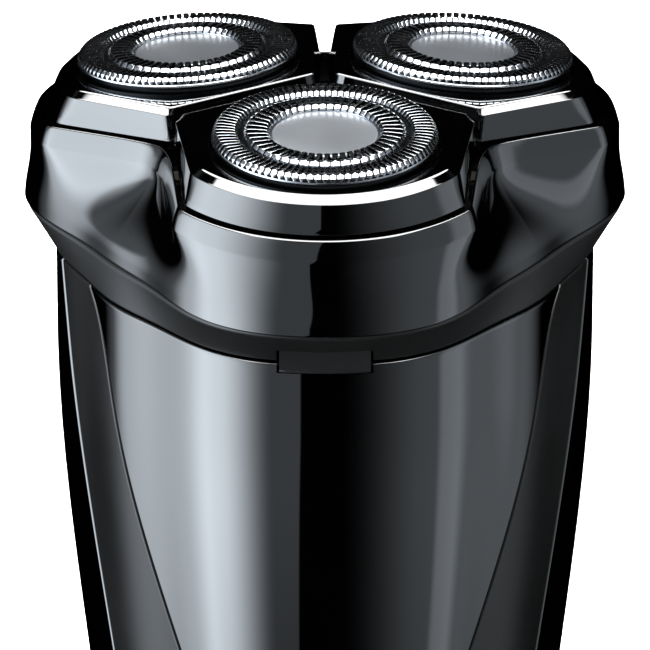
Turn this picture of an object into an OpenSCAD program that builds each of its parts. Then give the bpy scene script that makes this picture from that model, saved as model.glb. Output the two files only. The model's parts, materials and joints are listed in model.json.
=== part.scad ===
// Cordless rotary shaver: a three-head shaving unit hinged on a rounded three-sided handle.
// +Z up, the front faces -Y, the origin is the centre of the flat base.

/* [Handle] */
// Height of the handle from its flat base to the joint with the shaving unit
handle_h = 134.4; // [128:0.2:145]
// Mean radius of the handle at its top
handle_mean = 28.65; // [28.2:0.05:29.4]
// How far the three rounded corners stand out at the top of the handle
handle_lobe = 2.42; // [2.2:0.02:2.8]
// Widening of the handle from side to side
side_stretch = 1.027; // [1:0.001:1.05]
// Share of the top size that is left at the waist
waist_share = 0.793; // [0.76:0.001:0.86]
// Height of the waist above the base
waist_z = 45; // [40:1:52]
// Distance below the top where the handle starts to narrow
shoulder_drop = 9.4; // [6:0.1:14]
// Wall thickness of the outer skins
skin_wall = 1.7; // [1.4:0.05:1.8]
// Height of the rounded foot
foot_h = 7; // [5:0.5:9]
// Inward turn of the rounded foot at the base
foot_turn = 3; // [2:0.1:4]
// Height of the base cap
base_cap_h = 9.5; // [9:0.1:11]

/* [Front panel] */
// Length of the glossy front panel
panel_l = 73; // [71:0.5:75]
// Half angle that the front panel covers near its top, in degrees
panel_half_angle = 65.5; // [60:0.5:68]
// Radius of the panel's rounded lower end, around the power button
panel_end_r = 9; // [8.5:0.1:10]
// Gap between neighbouring skins
skin_gap = 0.2; // [0.1:0.02:0.3]

/* [Shaving unit] */
// Height of the satin collar under the head housing
collar_h = 5.2; // [4.8:0.1:5.6]
// Height of the head housing from the collar to the crease below its lip
housing_h = 8.6; // [8.2:0.1:9]
// Height of the shaving plane above the top of the handle
plane_h = 21.6; // [21.4:0.05:22]
// Mean radius of the head housing at its lower edge
seam_mean = 31.45; // [31.2:0.05:32]
// How far the three lobes stand out at the lower edge of the housing
seam_lobe = 4.67; // [4.4:0.01:4.8]
// Wall thickness of the head housing
housing_wall = 1.15; // [1:0.05:1.2]
// Distance from the middle of the head to the centre of each shaving head
head_r = 17.95; // [17.9:0.01:18.1]
// Outward tilt of each shaving head, in degrees
head_tilt = 4.4; // [4:0.1:5]

/* [Shaving heads] */
// Radius of a guard at its rim
guard_r = 12.4; // [12.2:0.05:12.5]
// Height that a guard stands above the shaving plane
guard_rise = 1.2; // [1:0.05:1.4]
// Sheet thickness of a guard
guard_sheet = 0.4; // [0.3:0.02:0.45]
// Number of hair slots in a guard's outer track
guard_slots = 36; // [24:1:40]
// Width of a hair slot
slot_w = 0.45; // [0.35:0.01:0.6]
// Number of blades on a cutter
blade_count = 9; // [7:1:12]
// Half width of the slots between the petals
petal_slot = 1.2; // [1:0.05:1.3]
// Radius of a petal's outer edge at its face
petal_top_r = 16.85; // [16.7:0.02:17]
// Width of the bevel around a petal's face
petal_bevel = 0.75; // [0.6:0.05:0.9]
// Radius of a petal's outer edge at the foot of its wall
petal_foot_r = 18.95; // [18.8:0.02:19.05]
// Free travel of a guard
guard_travel = 1; // [0.6:0.1:1.1]

/* [Drive] */
// Gear module
gear_module = 0.7; // [0.7:0.1:0.7]
// Teeth on the motor pinion
pinion_teeth = 20; // [20:1:20]
// Teeth on each drive gear
drive_teeth = 30; // [30:1:30]
// Height of the gear teeth
gear_h = 3.5; // [3:0.1:4]
// Radius of the drive shafts
shaft_r = 2; // [1.8:0.05:2.1]
// Radius of the motor can
motor_r = 12; // [11:0.1:12.2]
// Length of the motor can
motor_l = 30; // [27:0.5:32]
// Radius of the battery cell
cell_r = 9.2; // [7:0.1:9.3]
// Length of the battery cell
cell_l = 65; // [50:1:66]

/* [Buttons and fittings] */
// Radius of the power button
power_r = 6; // [5.5:0.1:6.4]
// Distance of the power button below the top of the handle
power_drop = 62.9; // [62:0.1:64]
// Travel of the power button
power_travel = 0.5; // [0.3:0.1:0.6]
// Width of the release button
release_w = 10; // [9:0.1:10.4]
// Height of the release button
release_h = 2.4; // [2.2:0.05:2.6]
// Travel of the release button
release_travel = 1; // [0.6:0.1:1.2]
// Radius of the hinge pin
pin_r = 0.8; // [0.7:0.02:0.9]
// Width of the charging socket
socket_w = 9; // [8.6:0.1:9.4]
// Height of the charging socket's mouth
socket_t = 3.2; // [3:0.05:3.4]

/* [Hidden] */
$fn = 64;

front = 270;                        // azimuth of the front lobe
head_az = [270, 30, 150];           // azimuths of the three shaving heads
valley_az = [90, 210, 330];         // azimuths of the flats between them
gloss_black = "#15161a";
satin_grey = "#3b3c3f";
inner_grey = "#55585c";
steel = "#b9bcc0";

// Clearances
fit_gap = 0.05;                     // radial play of a shaft in its bore
part_gap = 0.3;                     // space between pieces that move past each other
seat_gap = 0.1;                     // space between pieces that are only laid together

// Levels
split_z = handle_h;                 // top of the handle
power_z = split_z - power_drop;     // middle of the power button
seam_z = split_z + collar_h;        // joint of the collar and the housing
crease_z = seam_z + housing_h;
plane_z = split_z + plane_h;        // shaving plane at the centre of each head
deck_t = 2;
deck_z = split_z - deck_t;
gear_clear = 0.6;
gear_top = deck_z - gear_clear;
gear_z = gear_top - gear_h;
plate_t = 2;
plate_z = gear_z - gear_clear - plate_t;
motor_z = plate_z - motor_l;

// Gear train
pinion_pitch_r = gear_module * pinion_teeth / 2;
drive_pitch_r = gear_module * drive_teeth / 2;
drive_r = pinion_pitch_r + drive_pitch_r;   // distance of the drive shafts from the middle
pressure = 20;
backlash = 0.16;                    // taken off each tooth at the pitch circle

// Pivot of each shaving head, below its shaving plane
pivot_drop = 8;
pivot_r = head_r - pivot_drop * sin(head_tilt);
pivot_z = plane_z - pivot_drop * cos(head_tilt);
pivot_pin_r = 1;
well_r = 14;                        // outer radius of the well that holds a guard
well_bore = guard_r + part_gap;
well_counterbore = 13.3;
well_drop = 9.2;
ledge_drop = 2.6;                   // the guard's flange hangs below this ledge
skirt_drop = 5.2;
face_drop = 0.5;                    // the petal's face lies this far below the shaving plane
chamfer_drop = face_drop + 0.8;     // lower edge of the bevel around it

// ---- outlines -------------------------------------------------------------------------------

function smooth(t) = let (c = max(0, min(1, t))) c * c * (3 - 2 * c);
function mix(a, b, t) = a + (b - a) * t;

// Radius of a rounded three-sided outline in direction a
function lobed(a, mean, lobe, flat) = mean + lobe * cos(3 * (a - front)) + flat * cos(9 * (a - front));

// Size of the handle's section at height z, as a share of the top one
function narrowing(z) =
    1 - (1 - waist_share) * smooth((split_z - shoulder_drop - z) / (split_z - shoulder_drop - waist_z));

// Inward turn of the foot at height z
function foot_in(z) = z >= foot_h ? 0 : foot_turn * (1 - sqrt(1 - pow((foot_h - z) / foot_h, 2)));

handle_flat = -0.31;
function handle_radius(a, z) = lobed(a, handle_mean, handle_lobe, handle_flat) * narrowing(z) - foot_in(z);
function handle_point(a, z, d) =
    let (r = handle_radius(a, z) - d) [side_stretch * r * cos(a), r * sin(a), z];
function handle_outline(z, d) = [for (a = [0:3:357]) let (p = handle_point(a, z, d)) [p[0], p[1]]];
front_reach = handle_radius(front, split_z);

seam_flat = -0.33;
head_stretch = 1.01;
function seam_radius(a) = lobed(a, seam_mean, seam_lobe, seam_flat);

// Polar radius of one lobe's edge: an arc about lobe_c that turns into a straight side
lobe_c = 14.75;
lobe_side = 17.6;
lobe_slope = 0.09;
function lobe_edge(psi, arc_r, side, slope, crisp) =
    let (
        arc = lobe_c * cos(psi) + sqrt(arc_r * arc_r - pow(lobe_c * sin(psi), 2)),
        flank = side / (abs(sin(psi)) + slope * cos(psi))
    )
    arc * pow(1 + pow(arc / flank, crisp), -1 / crisp);
function away(a, b) = let (d = abs(a - b) % 360) min(d, 360 - d);
function off_axis(a) = min([for (h = head_az) away(a, h)]);
function lip_radius(a, d) =
    let (near = [
        for (h = head_az) if (away(a, h) < 89)
            pow(lobe_edge(away(a, h), petal_foot_r + d, lobe_side + d, lobe_slope, 150), 14)
    ])
    pow(near * [for (n = near) 1], 1 / 14);

// Point of the head's outer surface: the lip's outline at the crease widens to the seam's below it
valley_z = seam_z + 1.2;
function head_point(a, z, lip_d, d) =
    let (
        r = mix(lip_radius(a, lip_d), seam_radius(a), smooth((crease_z + 1 - z) / (crease_z + 1 - valley_z))) - d
    )
    [head_stretch * r * cos(a), r * sin(a), z];

// Height of the lip, which runs level with the tilted shaving heads
lip_drop = 4.5;
function lip_z(a, r) = plane_z - lip_drop * cos(head_tilt) - (r * cos(off_axis(a)) - head_r) * sin(head_tilt);

// ---- general shapes -------------------------------------------------------------------------

function triangles(q) = [[q[0], q[1], q[2]], [q[0], q[2], q[3]]];

// A curved plate between an outer and an inner surface, from grids of the same size
module plate(outer, inner) {
    n = len(outer);
    m = len(outer[0]);
    half = n * m;
    quads = [
        for (i = [0:n - 2], j = [0:m - 2])
            let (a = i * m + j, b = a + m)
            each [[a, b, b + 1, a + 1], [half + a, half + a + 1, half + b + 1, half + b]],
        for (j = [0:m - 2])
            let (a = j, b = (n - 1) * m + j)
            each [[a, a + 1, half + a + 1, half + a], [b, half + b, half + b + 1, b + 1]],
        for (i = [0:n - 2])
            let (a = i * m, b = a + m - 1)
            each [[half + a, half + a + m, a + m, a], [b, b + m, half + b + m, half + b]]
    ];
    polyhedron(
        points = [for (row = outer) each row, for (row = inner) each row],
        faces = [for (q = quads) each triangles(q)],
        convexity = 6
    );
}

// A closed ring whose section is the loop rows[k], each row a full turn of points
module ring_loft(rows) {
    n = len(rows);
    m = len(rows[0]);
    quads = [
        for (k = [0:n - 1], j = [0:m - 1])
            let (u = (k + 1) % n, v = (j + 1) % m)
            [k * m + j, u * m + j, u * m + v, k * m + v]
    ];
    polyhedron(
        points = [for (row = rows) each row],
        faces = [for (q = quads) each triangles(q)],
        convexity = 6
    );
}

// A solid closed by a flat cap at both ends of the rows
module capped_loft(rows) {
    n = len(rows);
    m = len(rows[0]);
    quads = [
        for (k = [0:n - 2], j = [0:m - 1])
            let (v = (j + 1) % m)
            [k * m + j, (k + 1) * m + j, (k + 1) * m + v, k * m + v]
    ];
    polyhedron(
        points = [for (row = rows) each row],
        faces = [
            for (q = quads) each triangles(q),
            [for (j = [0:m - 1]) j],
            [for (j = [m - 1:-1:0]) (n - 1) * m + j]
        ],
        convexity = 6
    );
}

module tube(outer_r, inner_r, h) {
    difference() {
        cylinder(r = outer_r, h = h);
        translate([0, 0, -1]) cylinder(r = inner_r, h = h + 2);
    }
}

module hexagon(r, h) {
    cylinder(r = r, h = h, $fn = 6);
}

// A coil spring as a swept wire, standing on the origin
module coil(r, wire, h, turns) {
    sides = 6;
    steps = 8 * turns;
    rise = h - 2 * wire;
    rows = [
        for (i = [0:steps])
            let (a = 360 * turns * i / steps, z = wire + rise * i / steps)
            [
                for (s = [0:sides - 1])
                    let (t = -360 * s / sides)
                    [(r + wire * cos(t)) * cos(a), (r + wire * cos(t)) * sin(a), z + wire * sin(t)]
            ]
    ];
    capped_loft(rows);
}

// Puts a shape drawn around a head's centre, with +X outwards, at shaving head i
module at_head(i) {
    rotate(head_az[i]) translate([head_r, 0, plane_z]) rotate([0, head_tilt, 0]) children();
}

// Puts an upright shape at the drive axis of head i
module at_drive(i) {
    rotate(head_az[i]) translate([drive_r, 0, 0]) children();
}

module screw(r, head_radius, head_h, l) {
    difference() {
        union() {
            cylinder(r = head_radius, h = head_h);
            translate([0, 0, -l]) cylinder(r = r, h = l + head_h / 2);
        }
        translate([0, 0, head_h / 2]) cylinder(r = r * 0.9, h = head_h, $fn = 6);
    }
}

// ---- gears ----------------------------------------------------------------------------------

function involute_turn(base_r, r) =
    let (c = base_r / r) sqrt(max(0, 1 / (c * c) - 1)) * 180 / PI - acos(min(1, c));

// Half width of a tooth at radius r, as an angle
function tooth_half(teeth, pitch_r, r) =
    let (base_r = pitch_r * cos(pressure))
    90 / teeth - backlash / pitch_r * 90 / PI
    + involute_turn(base_r, pitch_r) - involute_turn(base_r, max(base_r, r));

module gear_profile(teeth) {
    pitch_r = gear_module * teeth / 2;
    root_r = pitch_r - 1.2 * gear_module;
    top_r = pitch_r + 0.85 * gear_module;
    levels = [root_r, mix(root_r, top_r, 0.35), mix(root_r, top_r, 0.68), top_r];
    polygon([
        for (k = [0:teeth - 1])
            each concat(
                [for (r = levels) let (a = 360 * k / teeth - tooth_half(teeth, pitch_r, r)) r * [cos(a), sin(a)]],
                [for (i = [3:-1:0])
                    let (r = levels[i], a = 360 * k / teeth + tooth_half(teeth, pitch_r, r)) r * [cos(a), sin(a)]]
            )
    ]);
}

// Turn that brings drive gear i into mesh with the pinion
pinion_step = 360 / pinion_teeth;
function mesh_turn(i) =
    let (off = round(head_az[i] / pinion_step) * pinion_step - head_az[i])
    180 + 180 / drive_teeth - off * pinion_teeth / drive_teeth;

// ---- handle skins ---------------------------------------------------------------------------

panel_end_z = power_z - panel_end_r;

// Half angle that the front panel covers at height z
function panel_angle(z) =
    let (
        drop = split_z - z,
        vee = panel_half_angle * (1 - pow(max(0, min(1, drop / panel_l)), 1.4)) + 9 * exp(-drop / 3),
        reach = pow(panel_end_r, 2) - pow(max(0, power_z - z), 2),
        bowl = asin(min(1, sqrt(max(0.02, reach)) / handle_radius(front, z)))
    )
    z > power_z ? max(vee, bowl) : bowl;

// Half angle that the front of the handle covers, up to the rear shell
function grip_angle(z) = 91.5 - 38 * (1 - exp(-(split_z - z) / 75));

function skin_rows(zs, from, to, d, cols, dz) =
    [for (z = zs) [for (j = [0:cols]) handle_point(mix(from(z), to(z), j / cols), z + dz, d)]];

module skin(zs, from, to, cols) {
    plate(skin_rows(zs, from, to, 0, cols, 0), skin_rows(zs, from, to, skin_wall, cols, 0));
}

function steps(from, to, n) = [for (i = [0:n]) mix(from, to, i / n)];
function gap_angle(z) = skin_gap / handle_radius(front, z) * 180 / PI;

skin_low = base_cap_h + skin_gap;
panel_low = panel_end_z + 0.05;
panel_zs = concat(
    [for (t = [6:16:86]) power_z - panel_end_r * cos(t)],
    [for (z = steps(power_z + 1, split_z, 14)) z]
);
grip_zs = concat(steps(skin_low, panel_low - 1.5, 8), [for (z = panel_zs) z]);

// Room in the skins and the deck for the release button
release_z = split_z - 0.4;
module release_notch() {
    translate([0, -front_reach, release_z - part_gap + 10])
        cube([release_w + 2 * part_gap, 12, 20], center = true);
}

// Both holes run to the middle, as the skin lies further in where the handle narrows
module power_hole() {
    translate([0, -front_reach - 5, power_z]) rotate([-90, 0, 0]) cylinder(r = power_r + part_gap, h = front_reach);
}

lens_r = 1.5;
lens_z = power_z + panel_end_r + 1.5;
module lens_hole(r) {
    translate([0, -front_reach - 5, lens_z]) rotate([-90, 0, 0]) cylinder(r = r, h = front_reach);
}

module front_panel() {
    color(gloss_black) difference() {
        skin(panel_zs, function(z) front - panel_angle(z), function(z) front + panel_angle(z), 22);
        release_notch();
        power_hole();
        lens_hole(lens_r);
    }
}

// Satin front of the handle: two arms beside the panel, joined below it
module front_grip() {
    color(satin_grey) union() {
        for (side = [-1, 1])
            skin(
                [for (z = panel_zs) if (z > panel_low + 0.5) z],
                function(z) side < 0 ? front - grip_angle(z) : front + panel_angle(z) + gap_angle(z),
                function(z) side < 0 ? front - panel_angle(z) - gap_angle(z) : front + grip_angle(z),
                6
            );
        grip_base();
    }
}

module grip_base() {
    low_zs = steps(skin_low, panel_zs[1] + 0.4, 9);
    difference() {
        skin(low_zs, function(z) front - grip_angle(z), function(z) front + grip_angle(z), 22);
        intersection() {
            translate([0, -front_reach, power_z]) rotate([-90, 0, 0])
                cylinder(r = panel_end_r + skin_gap, h = front_reach);
            translate([-panel_end_r - 1, -front_reach, panel_low - 2])
                cube([2 * panel_end_r + 2, front_reach, 20]);
        }
    }
}

module rear_shell() {
    color(gloss_black) difference() {
        skin(
            steps(skin_low, split_z, 18),
            function(z) front + grip_angle(z) + gap_angle(z),
            function(z) front + 360 - grip_angle(z) - gap_angle(z),
            34
        );
        hinge_relief(0);
    }
}

base_t = 2;
socket_y = 9;
module base_cap() {
    zs = concat([0, 0.35, 1.2, 2.6, 4.6], [foot_h, base_cap_h]);
    color(satin_grey) difference() {
        capped_loft([for (z = zs) [for (a = [0:3:357]) handle_point(a, z, 0)]]);
        translate([0, 0, base_t]) linear_extrude(height = base_cap_h)
            polygon(handle_outline(base_cap_h, skin_wall + 1.4));
        translate([0, socket_y, -1]) linear_extrude(height = base_t + 2)
            square([socket_w + 2 * seat_gap, socket_t + 2 * seat_gap], center = true);
        for (x = [-1, 1]) translate([x * base_screw_x, 0, -1]) {
            cylinder(r = 2.1, h = 2);
            cylinder(r = 1.1, h = base_t + 2);
        }
    }
}

base_screw_x = 13;
module base_screws() {
    color(steel) for (x = [-1, 1]) translate([x * base_screw_x, 0, 0.9]) rotate([180, 0, 0])
        screw(1, 1.9, 0.7, 5);
}

// ---- handle inside --------------------------------------------------------------------------

deck_edge = skin_wall + 0.15;
seal_r = 3.6;
release_depth = 7.4;                // front to back size of the release button's slider
hinge_y = 25.6;
hinge_z = split_z + 1.2;
hinge_half = 7;                     // half width of the hinge
knuckle_r = 2;
ear_w = 3;
deck_screw_r = 20;
deck_post_r = 2.4;
screw_hole_l = 5;                   // depth of the deck screws' holes

// Room around the hinge, cut from the pieces beside it
module hinge_relief(extra) {
    translate([-hinge_half - part_gap - extra, hinge_y, hinge_z]) rotate([0, 90, 0])
        cylinder(r = knuckle_r + part_gap + extra, h = 2 * (hinge_half + part_gap + extra));
}

module hinge_ears() {
    for (x = [-hinge_half, hinge_half - ear_w]) difference() {
        union() {
            translate([x, hinge_y, hinge_z]) rotate([0, 90, 0]) cylinder(r = knuckle_r, h = ear_w);
            translate([0, 0, deck_z]) linear_extrude(height = deck_t + 0.5) intersection() {
                polygon(handle_outline(split_z, deck_edge + seat_gap));
                translate([x, hinge_y - knuckle_r - 2.6]) square([ear_w, knuckle_r + 2.6]);
            }
        }
        translate([x - 1, hinge_y, hinge_z]) rotate([0, 90, 0]) cylinder(r = pin_r, h = ear_w + 2);
    }
}

module top_deck() {
    color(inner_grey) difference() {
        union() {
            translate([0, 0, deck_z]) linear_extrude(height = deck_t) polygon(handle_outline(split_z, deck_edge));
            hinge_ears();
            for (x = [-1, 1]) translate([x * release_spring_x - 1.6, spring_wall_y, split_z - 0.5])
                cube([3.2, 1.2, 2.3]);
        }
        for (i = [0:2]) at_drive(i) {
            translate([0, 0, deck_z - 1]) cylinder(r = shaft_r + fit_gap, h = deck_t + 2);
            translate([0, 0, split_z - 0.9]) cylinder(r = seal_r, h = 2);
        }
        for (a = valley_az) rotate(a) translate([deck_screw_r, 0, deck_z - 1]) {
            cylinder(r = 1.1, h = deck_t + 2);
            translate([0, 0, 2]) cylinder(r = 2, h = deck_t);
        }
        translate([-release_w / 2 - part_gap, -front_reach - 2, release_z - part_gap])
            cube([release_w + 2 * part_gap, spring_wall_y + front_reach + 2, 9]);
        translate([-release_wing - part_gap, wing_front - part_gap, release_z - part_gap])
            cube([2 * release_wing + 2 * part_gap, spring_wall_y - wing_front + part_gap, 9]);
        translate([-hinge_half + ear_w, hinge_y - knuckle_r - part_gap, split_z - 1.1])
            cube([2 * (hinge_half - ear_w), 8, 4]);
    }
}

module shaft_seals() {
    color("#202124") for (i = [0:2]) at_drive(i) translate([0, 0, split_z - 0.9])
        tube(seal_r, shaft_r + fit_gap, 0.8);
}

module deck_screws() {
    color(steel) for (a = valley_az) rotate(a) translate([deck_screw_r, 0, deck_z + 1.05])
        screw(1, 1.9, 0.8, deck_t + 4);
}

module gear_plate() {
    color(inner_grey) difference() {
        union() {
            translate([0, 0, plate_z]) linear_extrude(height = plate_t) polygon(handle_outline(plate_z, deck_edge));
            for (a = valley_az) rotate(a) translate([deck_screw_r, 0, plate_z])
                cylinder(r = deck_post_r, h = deck_z - plate_z);
        }
        translate([0, 0, plate_z - 1]) cylinder(r = motor_nose_r + seat_gap, h = plate_t + 2);
        for (i = [0:2]) at_drive(i) translate([0, 0, plate_z + 0.6]) cylinder(r = 1.5 + fit_gap, h = plate_t);
        for (a = valley_az) rotate(a) {
            translate([deck_screw_r, 0, deck_z - screw_hole_l]) cylinder(r = 1, h = screw_hole_l + 1);
            translate([motor_screw_r, 0, plate_z - 1]) cylinder(r = 0.8, h = plate_t + 2);
        }
    }
}

motor_screw_r = 8.5;
motor_nose_r = 4;
module plate_screws() {
    color(steel) for (a = valley_az) rotate(a) translate([motor_screw_r, 0, plate_z + plate_t])
        screw(0.75, 1.4, 0.5, plate_t + 1.5);
}

motor_shaft_r = 1;
lug_l = 3.4;                        // motor's two terminals
module motor() {
    color(steel) difference() {
        union() {
            translate([0, 0, motor_z]) cylinder(r = motor_r, h = motor_l);
            translate([0, 0, plate_z]) cylinder(r = motor_nose_r, h = plate_t - 0.2);
            for (x = [-1, 1]) translate([x * 6, 0, motor_z - lug_l / 2 + 0.2])
                cube([0.6, 2.4, lug_l], center = true);
        }
        translate([0, 0, motor_z + 4]) cylinder(r = motor_shaft_r + fit_gap, h = motor_l + plate_t);
        for (a = valley_az) rotate(a) translate([motor_screw_r, 0, plate_z - 2]) cylinder(r = 0.75, h = 3);
    }
}

module motor_shaft() {
    color(steel) translate([0, 0, motor_z + 4.5]) cylinder(r = motor_shaft_r, h = gear_top - motor_z - 4.5);
}

module pinion_gear() {
    color("#d8c9a0") difference() {
        union() {
            translate([0, 0, gear_z]) linear_extrude(height = gear_h) gear_profile(pinion_teeth);
            translate([0, 0, gear_z - 0.3]) cylinder(r = 3, h = 0.4);
        }
        translate([0, 0, gear_z - 1]) cylinder(r = motor_shaft_r, h = gear_h + 2);
    }
}

hub_r = 3.2;
module drive_gear(i) {
    color("#e6e2d6") at_drive(i) rotate(mesh_turn(i)) difference() {
        union() {
            translate([0, 0, gear_z]) linear_extrude(height = gear_h) gear_profile(drive_teeth);
            translate([0, 0, gear_z - 0.3]) cylinder(r = hub_r, h = 0.4);
        }
        translate([0, 0, gear_z - 1]) cylinder(r = shaft_r, h = gear_h + 2);
        for (k = [0:4]) rotate(72 * k) translate([6.6, 0, gear_z - 1]) cylinder(r = 1.7, h = gear_h + 2);
    }
}

// Shaft of a drive gear: foot pin, shaft and the six-sided dog that turns the coupling above
dog_r = 2.7;
dog_h = 2.4;
module drive_shaft(i) {
    color(steel) at_drive(i) {
        translate([0, 0, plate_z + 0.8]) cylinder(r = 1.5, h = gear_z - plate_z - 0.8);
        translate([0, 0, gear_z]) cylinder(r = shaft_r, h = split_z + 0.1 - gear_z);
        translate([0, 0, split_z + 0.1]) hexagon(dog_r, dog_h);
    }
}

cell_share = 0.4;                   // share of the spare height that lies below the cell
cell_z = mix(base_cap_h, motor_z - cell_l, cell_share);
tray_drop = 4;                      // the tray under the cell
cell_y = 5.5;
wall_t = 1.6;
board_y = cell_y - cell_r - 6;
frame_w = 26;
module chassis() {
    color(inner_grey) difference() {
        union() {
            translate([0, 0, motor_z])
                tube(motor_r + wall_t + seat_gap, motor_r + seat_gap, motor_l - seat_gap);
            translate([-frame_w / 2, board_y + 2, base_t + seat_gap])
                cube([frame_w, wall_t, motor_z - base_t + 6]);
            for (x = [-1, 1]) translate([x * (cell_r + 0.9) - 0.8, board_y + 2, cell_z - tray_drop])
                cube([1.6, cell_r + 6, cell_l + tray_drop]);
            translate([-frame_w / 2, board_y + 2, cell_z - tray_drop])
                cube([frame_w, cell_r + cell_y - board_y - 3, wall_t]);
            for (x = [-1, 1]) translate([x * base_screw_x, 0, base_t + seat_gap])
                cylinder(r = 2.2, h = cell_z - tray_drop - base_t);
        }
        for (x = [-1, 1]) translate([x * base_screw_x, 0, 0]) cylinder(r = 1, h = 9);
        translate([0, 0, motor_z - 0.5]) cylinder(r = motor_r + seat_gap, h = motor_l + 2);
    }
}

module battery() {
    color("#3f6f8f") translate([0, cell_y, cell_z]) {
        cylinder(r = cell_r, h = cell_l - 1);
        cylinder(r = 3, h = cell_l);
    }
}

module battery_tabs() {
    color(steel) for (z = [cell_z - 0.35, cell_z + cell_l + 0.05]) {
        translate([-3, board_y + 5, z]) cube([6, cell_y - board_y - 1, 0.3]);
    }
}

board_z = base_cap_h + 4.5;
board_l = lens_z + 2 - board_z;     // from the tray up past the status light
board_w = 22;
board_t = 1.6;
module circuit_board() {
    color("#1f5b3a") translate([-board_w / 2, board_y, board_z]) cube([board_w, board_t, board_l]);
}

switch_t = 2.5;
switch_w = 6;
chip_t = 1.1;
light_w = 2.4;

// Chips on the board: side place, top edge's distance below the power switch, and width
chips = [[-5, 25.5, 5], [4, 27.1, 3.4], [-4, 12.5, 6], [5, 10.5, 4]];
module board_parts() {
    color("#26282b") {
        for (chip = chips)
            translate([chip[0] - chip[2] / 2, board_y - chip_t - 0.1, power_z - switch_w / 2 - chip[1] - chip[2]])
                cube([chip[2], chip_t, chip[2]]);
        translate([0, board_y - 1.6, lens_z]) cube([light_w, 3, light_w], center = true);
    }
}

module power_switch() {
    color("#4a4c50") translate([0, board_y - switch_t / 2 - 0.05, power_z]) {
        cube([switch_w, switch_t, switch_w], center = true);
        translate([0, -switch_t / 2, 0]) rotate([90, 0, 0]) cylinder(r = 1.7, h = 0.6);
    }
}

// The power button sits in the panel and its stem reaches the switch
power_front = handle_radius(front, power_z);
stem_end = board_y - switch_t - 0.65 - power_travel - 0.15;
button_flange_r = power_r + 1;
flange_t = 0.9;
flange_depth = skin_wall + 1.8;     // clear of the panel, which curves and narrows below the button
module power_button() {
    color(satin_grey) translate([0, -power_front, power_z]) rotate([-90, 0, 0]) {
        translate([0, 0, -0.1]) cylinder(r = power_r, h = flange_depth + 0.2);
        translate([0, 0, flange_depth]) cylinder(r = button_flange_r, h = flange_t);
        cylinder(r = 2, h = stem_end + power_front);
    }
}

// Soft cup around the button's flange, which seats on the curved inner face of the panel
module button_seal() {
    low = flange_depth + flange_t + power_travel + seat_gap;
    color("#202124") intersection() {
        translate([0, -power_front, power_z]) rotate([-90, 0, 0]) rotate_extrude() polygon([
            [2.6, low], [button_flange_r + 0.4, low], [button_flange_r + 0.4, skin_wall],
            [button_flange_r + 1, skin_wall], [button_flange_r + 1, low + 1], [2.6, low + 1]
        ]);
        capped_loft([for (z = [power_z - 12, power_z, power_z + 12])
            [for (a = [0:3:357]) handle_point(a, z, skin_wall + seat_gap)]]);
    }
}

module status_lens() {
    color("#d9dde2") translate([0, -handle_radius(front, lens_z) + 0.05, lens_z]) rotate([-90, 0, 0]) {
        cylinder(r = lens_r - 0.05, h = skin_wall + 0.3);
        translate([0, 0, skin_wall + 0.3])
            cylinder(r = lens_r + 0.8, h = board_y - 3.5 + handle_radius(front, lens_z) - skin_wall);
    }
}

socket_h = 7;
module charge_socket() {
    color(steel) translate([0, socket_y, base_t / 2 - 0.4]) difference() {
        translate([-socket_w / 2, -socket_t / 2, 0]) cube([socket_w, socket_t, socket_h]);
        translate([-socket_w / 2 + 0.4, -socket_t / 2 + 0.4, -1])
            cube([socket_w - 0.8, socket_t - 0.8, socket_h + 0.4]);
    }
    color(inner_grey) translate([-3, socket_y - 0.35, base_t / 2 + 1]) cube([6, 0.7, socket_h - 1.5]);
}

// ---- release button and hinge ---------------------------------------------------------------

release_wing = 8.6;                 // half width of the slider behind the skins
release_spring_x = 7.2;
release_front = front_reach + 0.6;
wing_front = -front_reach + 4.6;
wing_end = -front_reach + release_depth;
spring_wall_y = -front_reach + 10.4;
catch_x = 5.6;
catch_w = 2;
catch_y = wing_front - 1.7;         // inner edge of the shaving unit's catches
catch_z = split_z + 0.8;
catch_t = 0.6;
nose_gap = 0.3;

module release_button() {
    color(satin_grey) translate([0, 0, release_z]) {
        translate([-release_w / 2, -release_front, 0]) cube([release_w, release_front + wing_end, release_h]);
        translate([-release_wing, wing_front, 0]) cube([2 * release_wing, wing_end - wing_front, 1.4]);
    }
    color(satin_grey) for (side = [-1, 1]) {
        translate([side * (catch_x + catch_w / 2) - catch_w / 2, wing_front + 0.6, release_z + 1.3])
            cube([catch_w, wing_end - wing_front - 0.6, catch_z + catch_t + nose_gap + 0.6 - release_z - 1.3]);
        translate([side * (catch_x + catch_w / 2) - catch_w / 2, catch_y + nose_gap, catch_z + catch_t + nose_gap])
            cube([catch_w, wing_end - catch_y - nose_gap, 0.6]);
    }
}

module release_springs() {
    color(steel) for (x = [-1, 1]) translate([x * release_spring_x, wing_end, release_z + 0.95]) rotate([-90, 0, 0])
        coil(0.7, 0.16, spring_wall_y - wing_end, 5);
}

module hinge_pin() {
    color(steel) translate([-hinge_half + 0.1, hinge_y, hinge_z]) rotate([0, 90, 0])
        cylinder(r = pin_r, h = 2 * hinge_half - 0.2);
}

// ---- shaving unit ---------------------------------------------------------------------------

band_low = split_z + part_gap;
band_wall = 2;

function band_row(t, d, z) = [
    for (a = [0:3:357])
        let (
            r = mix(handle_radius(a, split_z), seam_radius(a), t) - d,
            s = mix(side_stretch, head_stretch, t)
        )
        [s * r * cos(a), r * sin(a), z]
];

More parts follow.
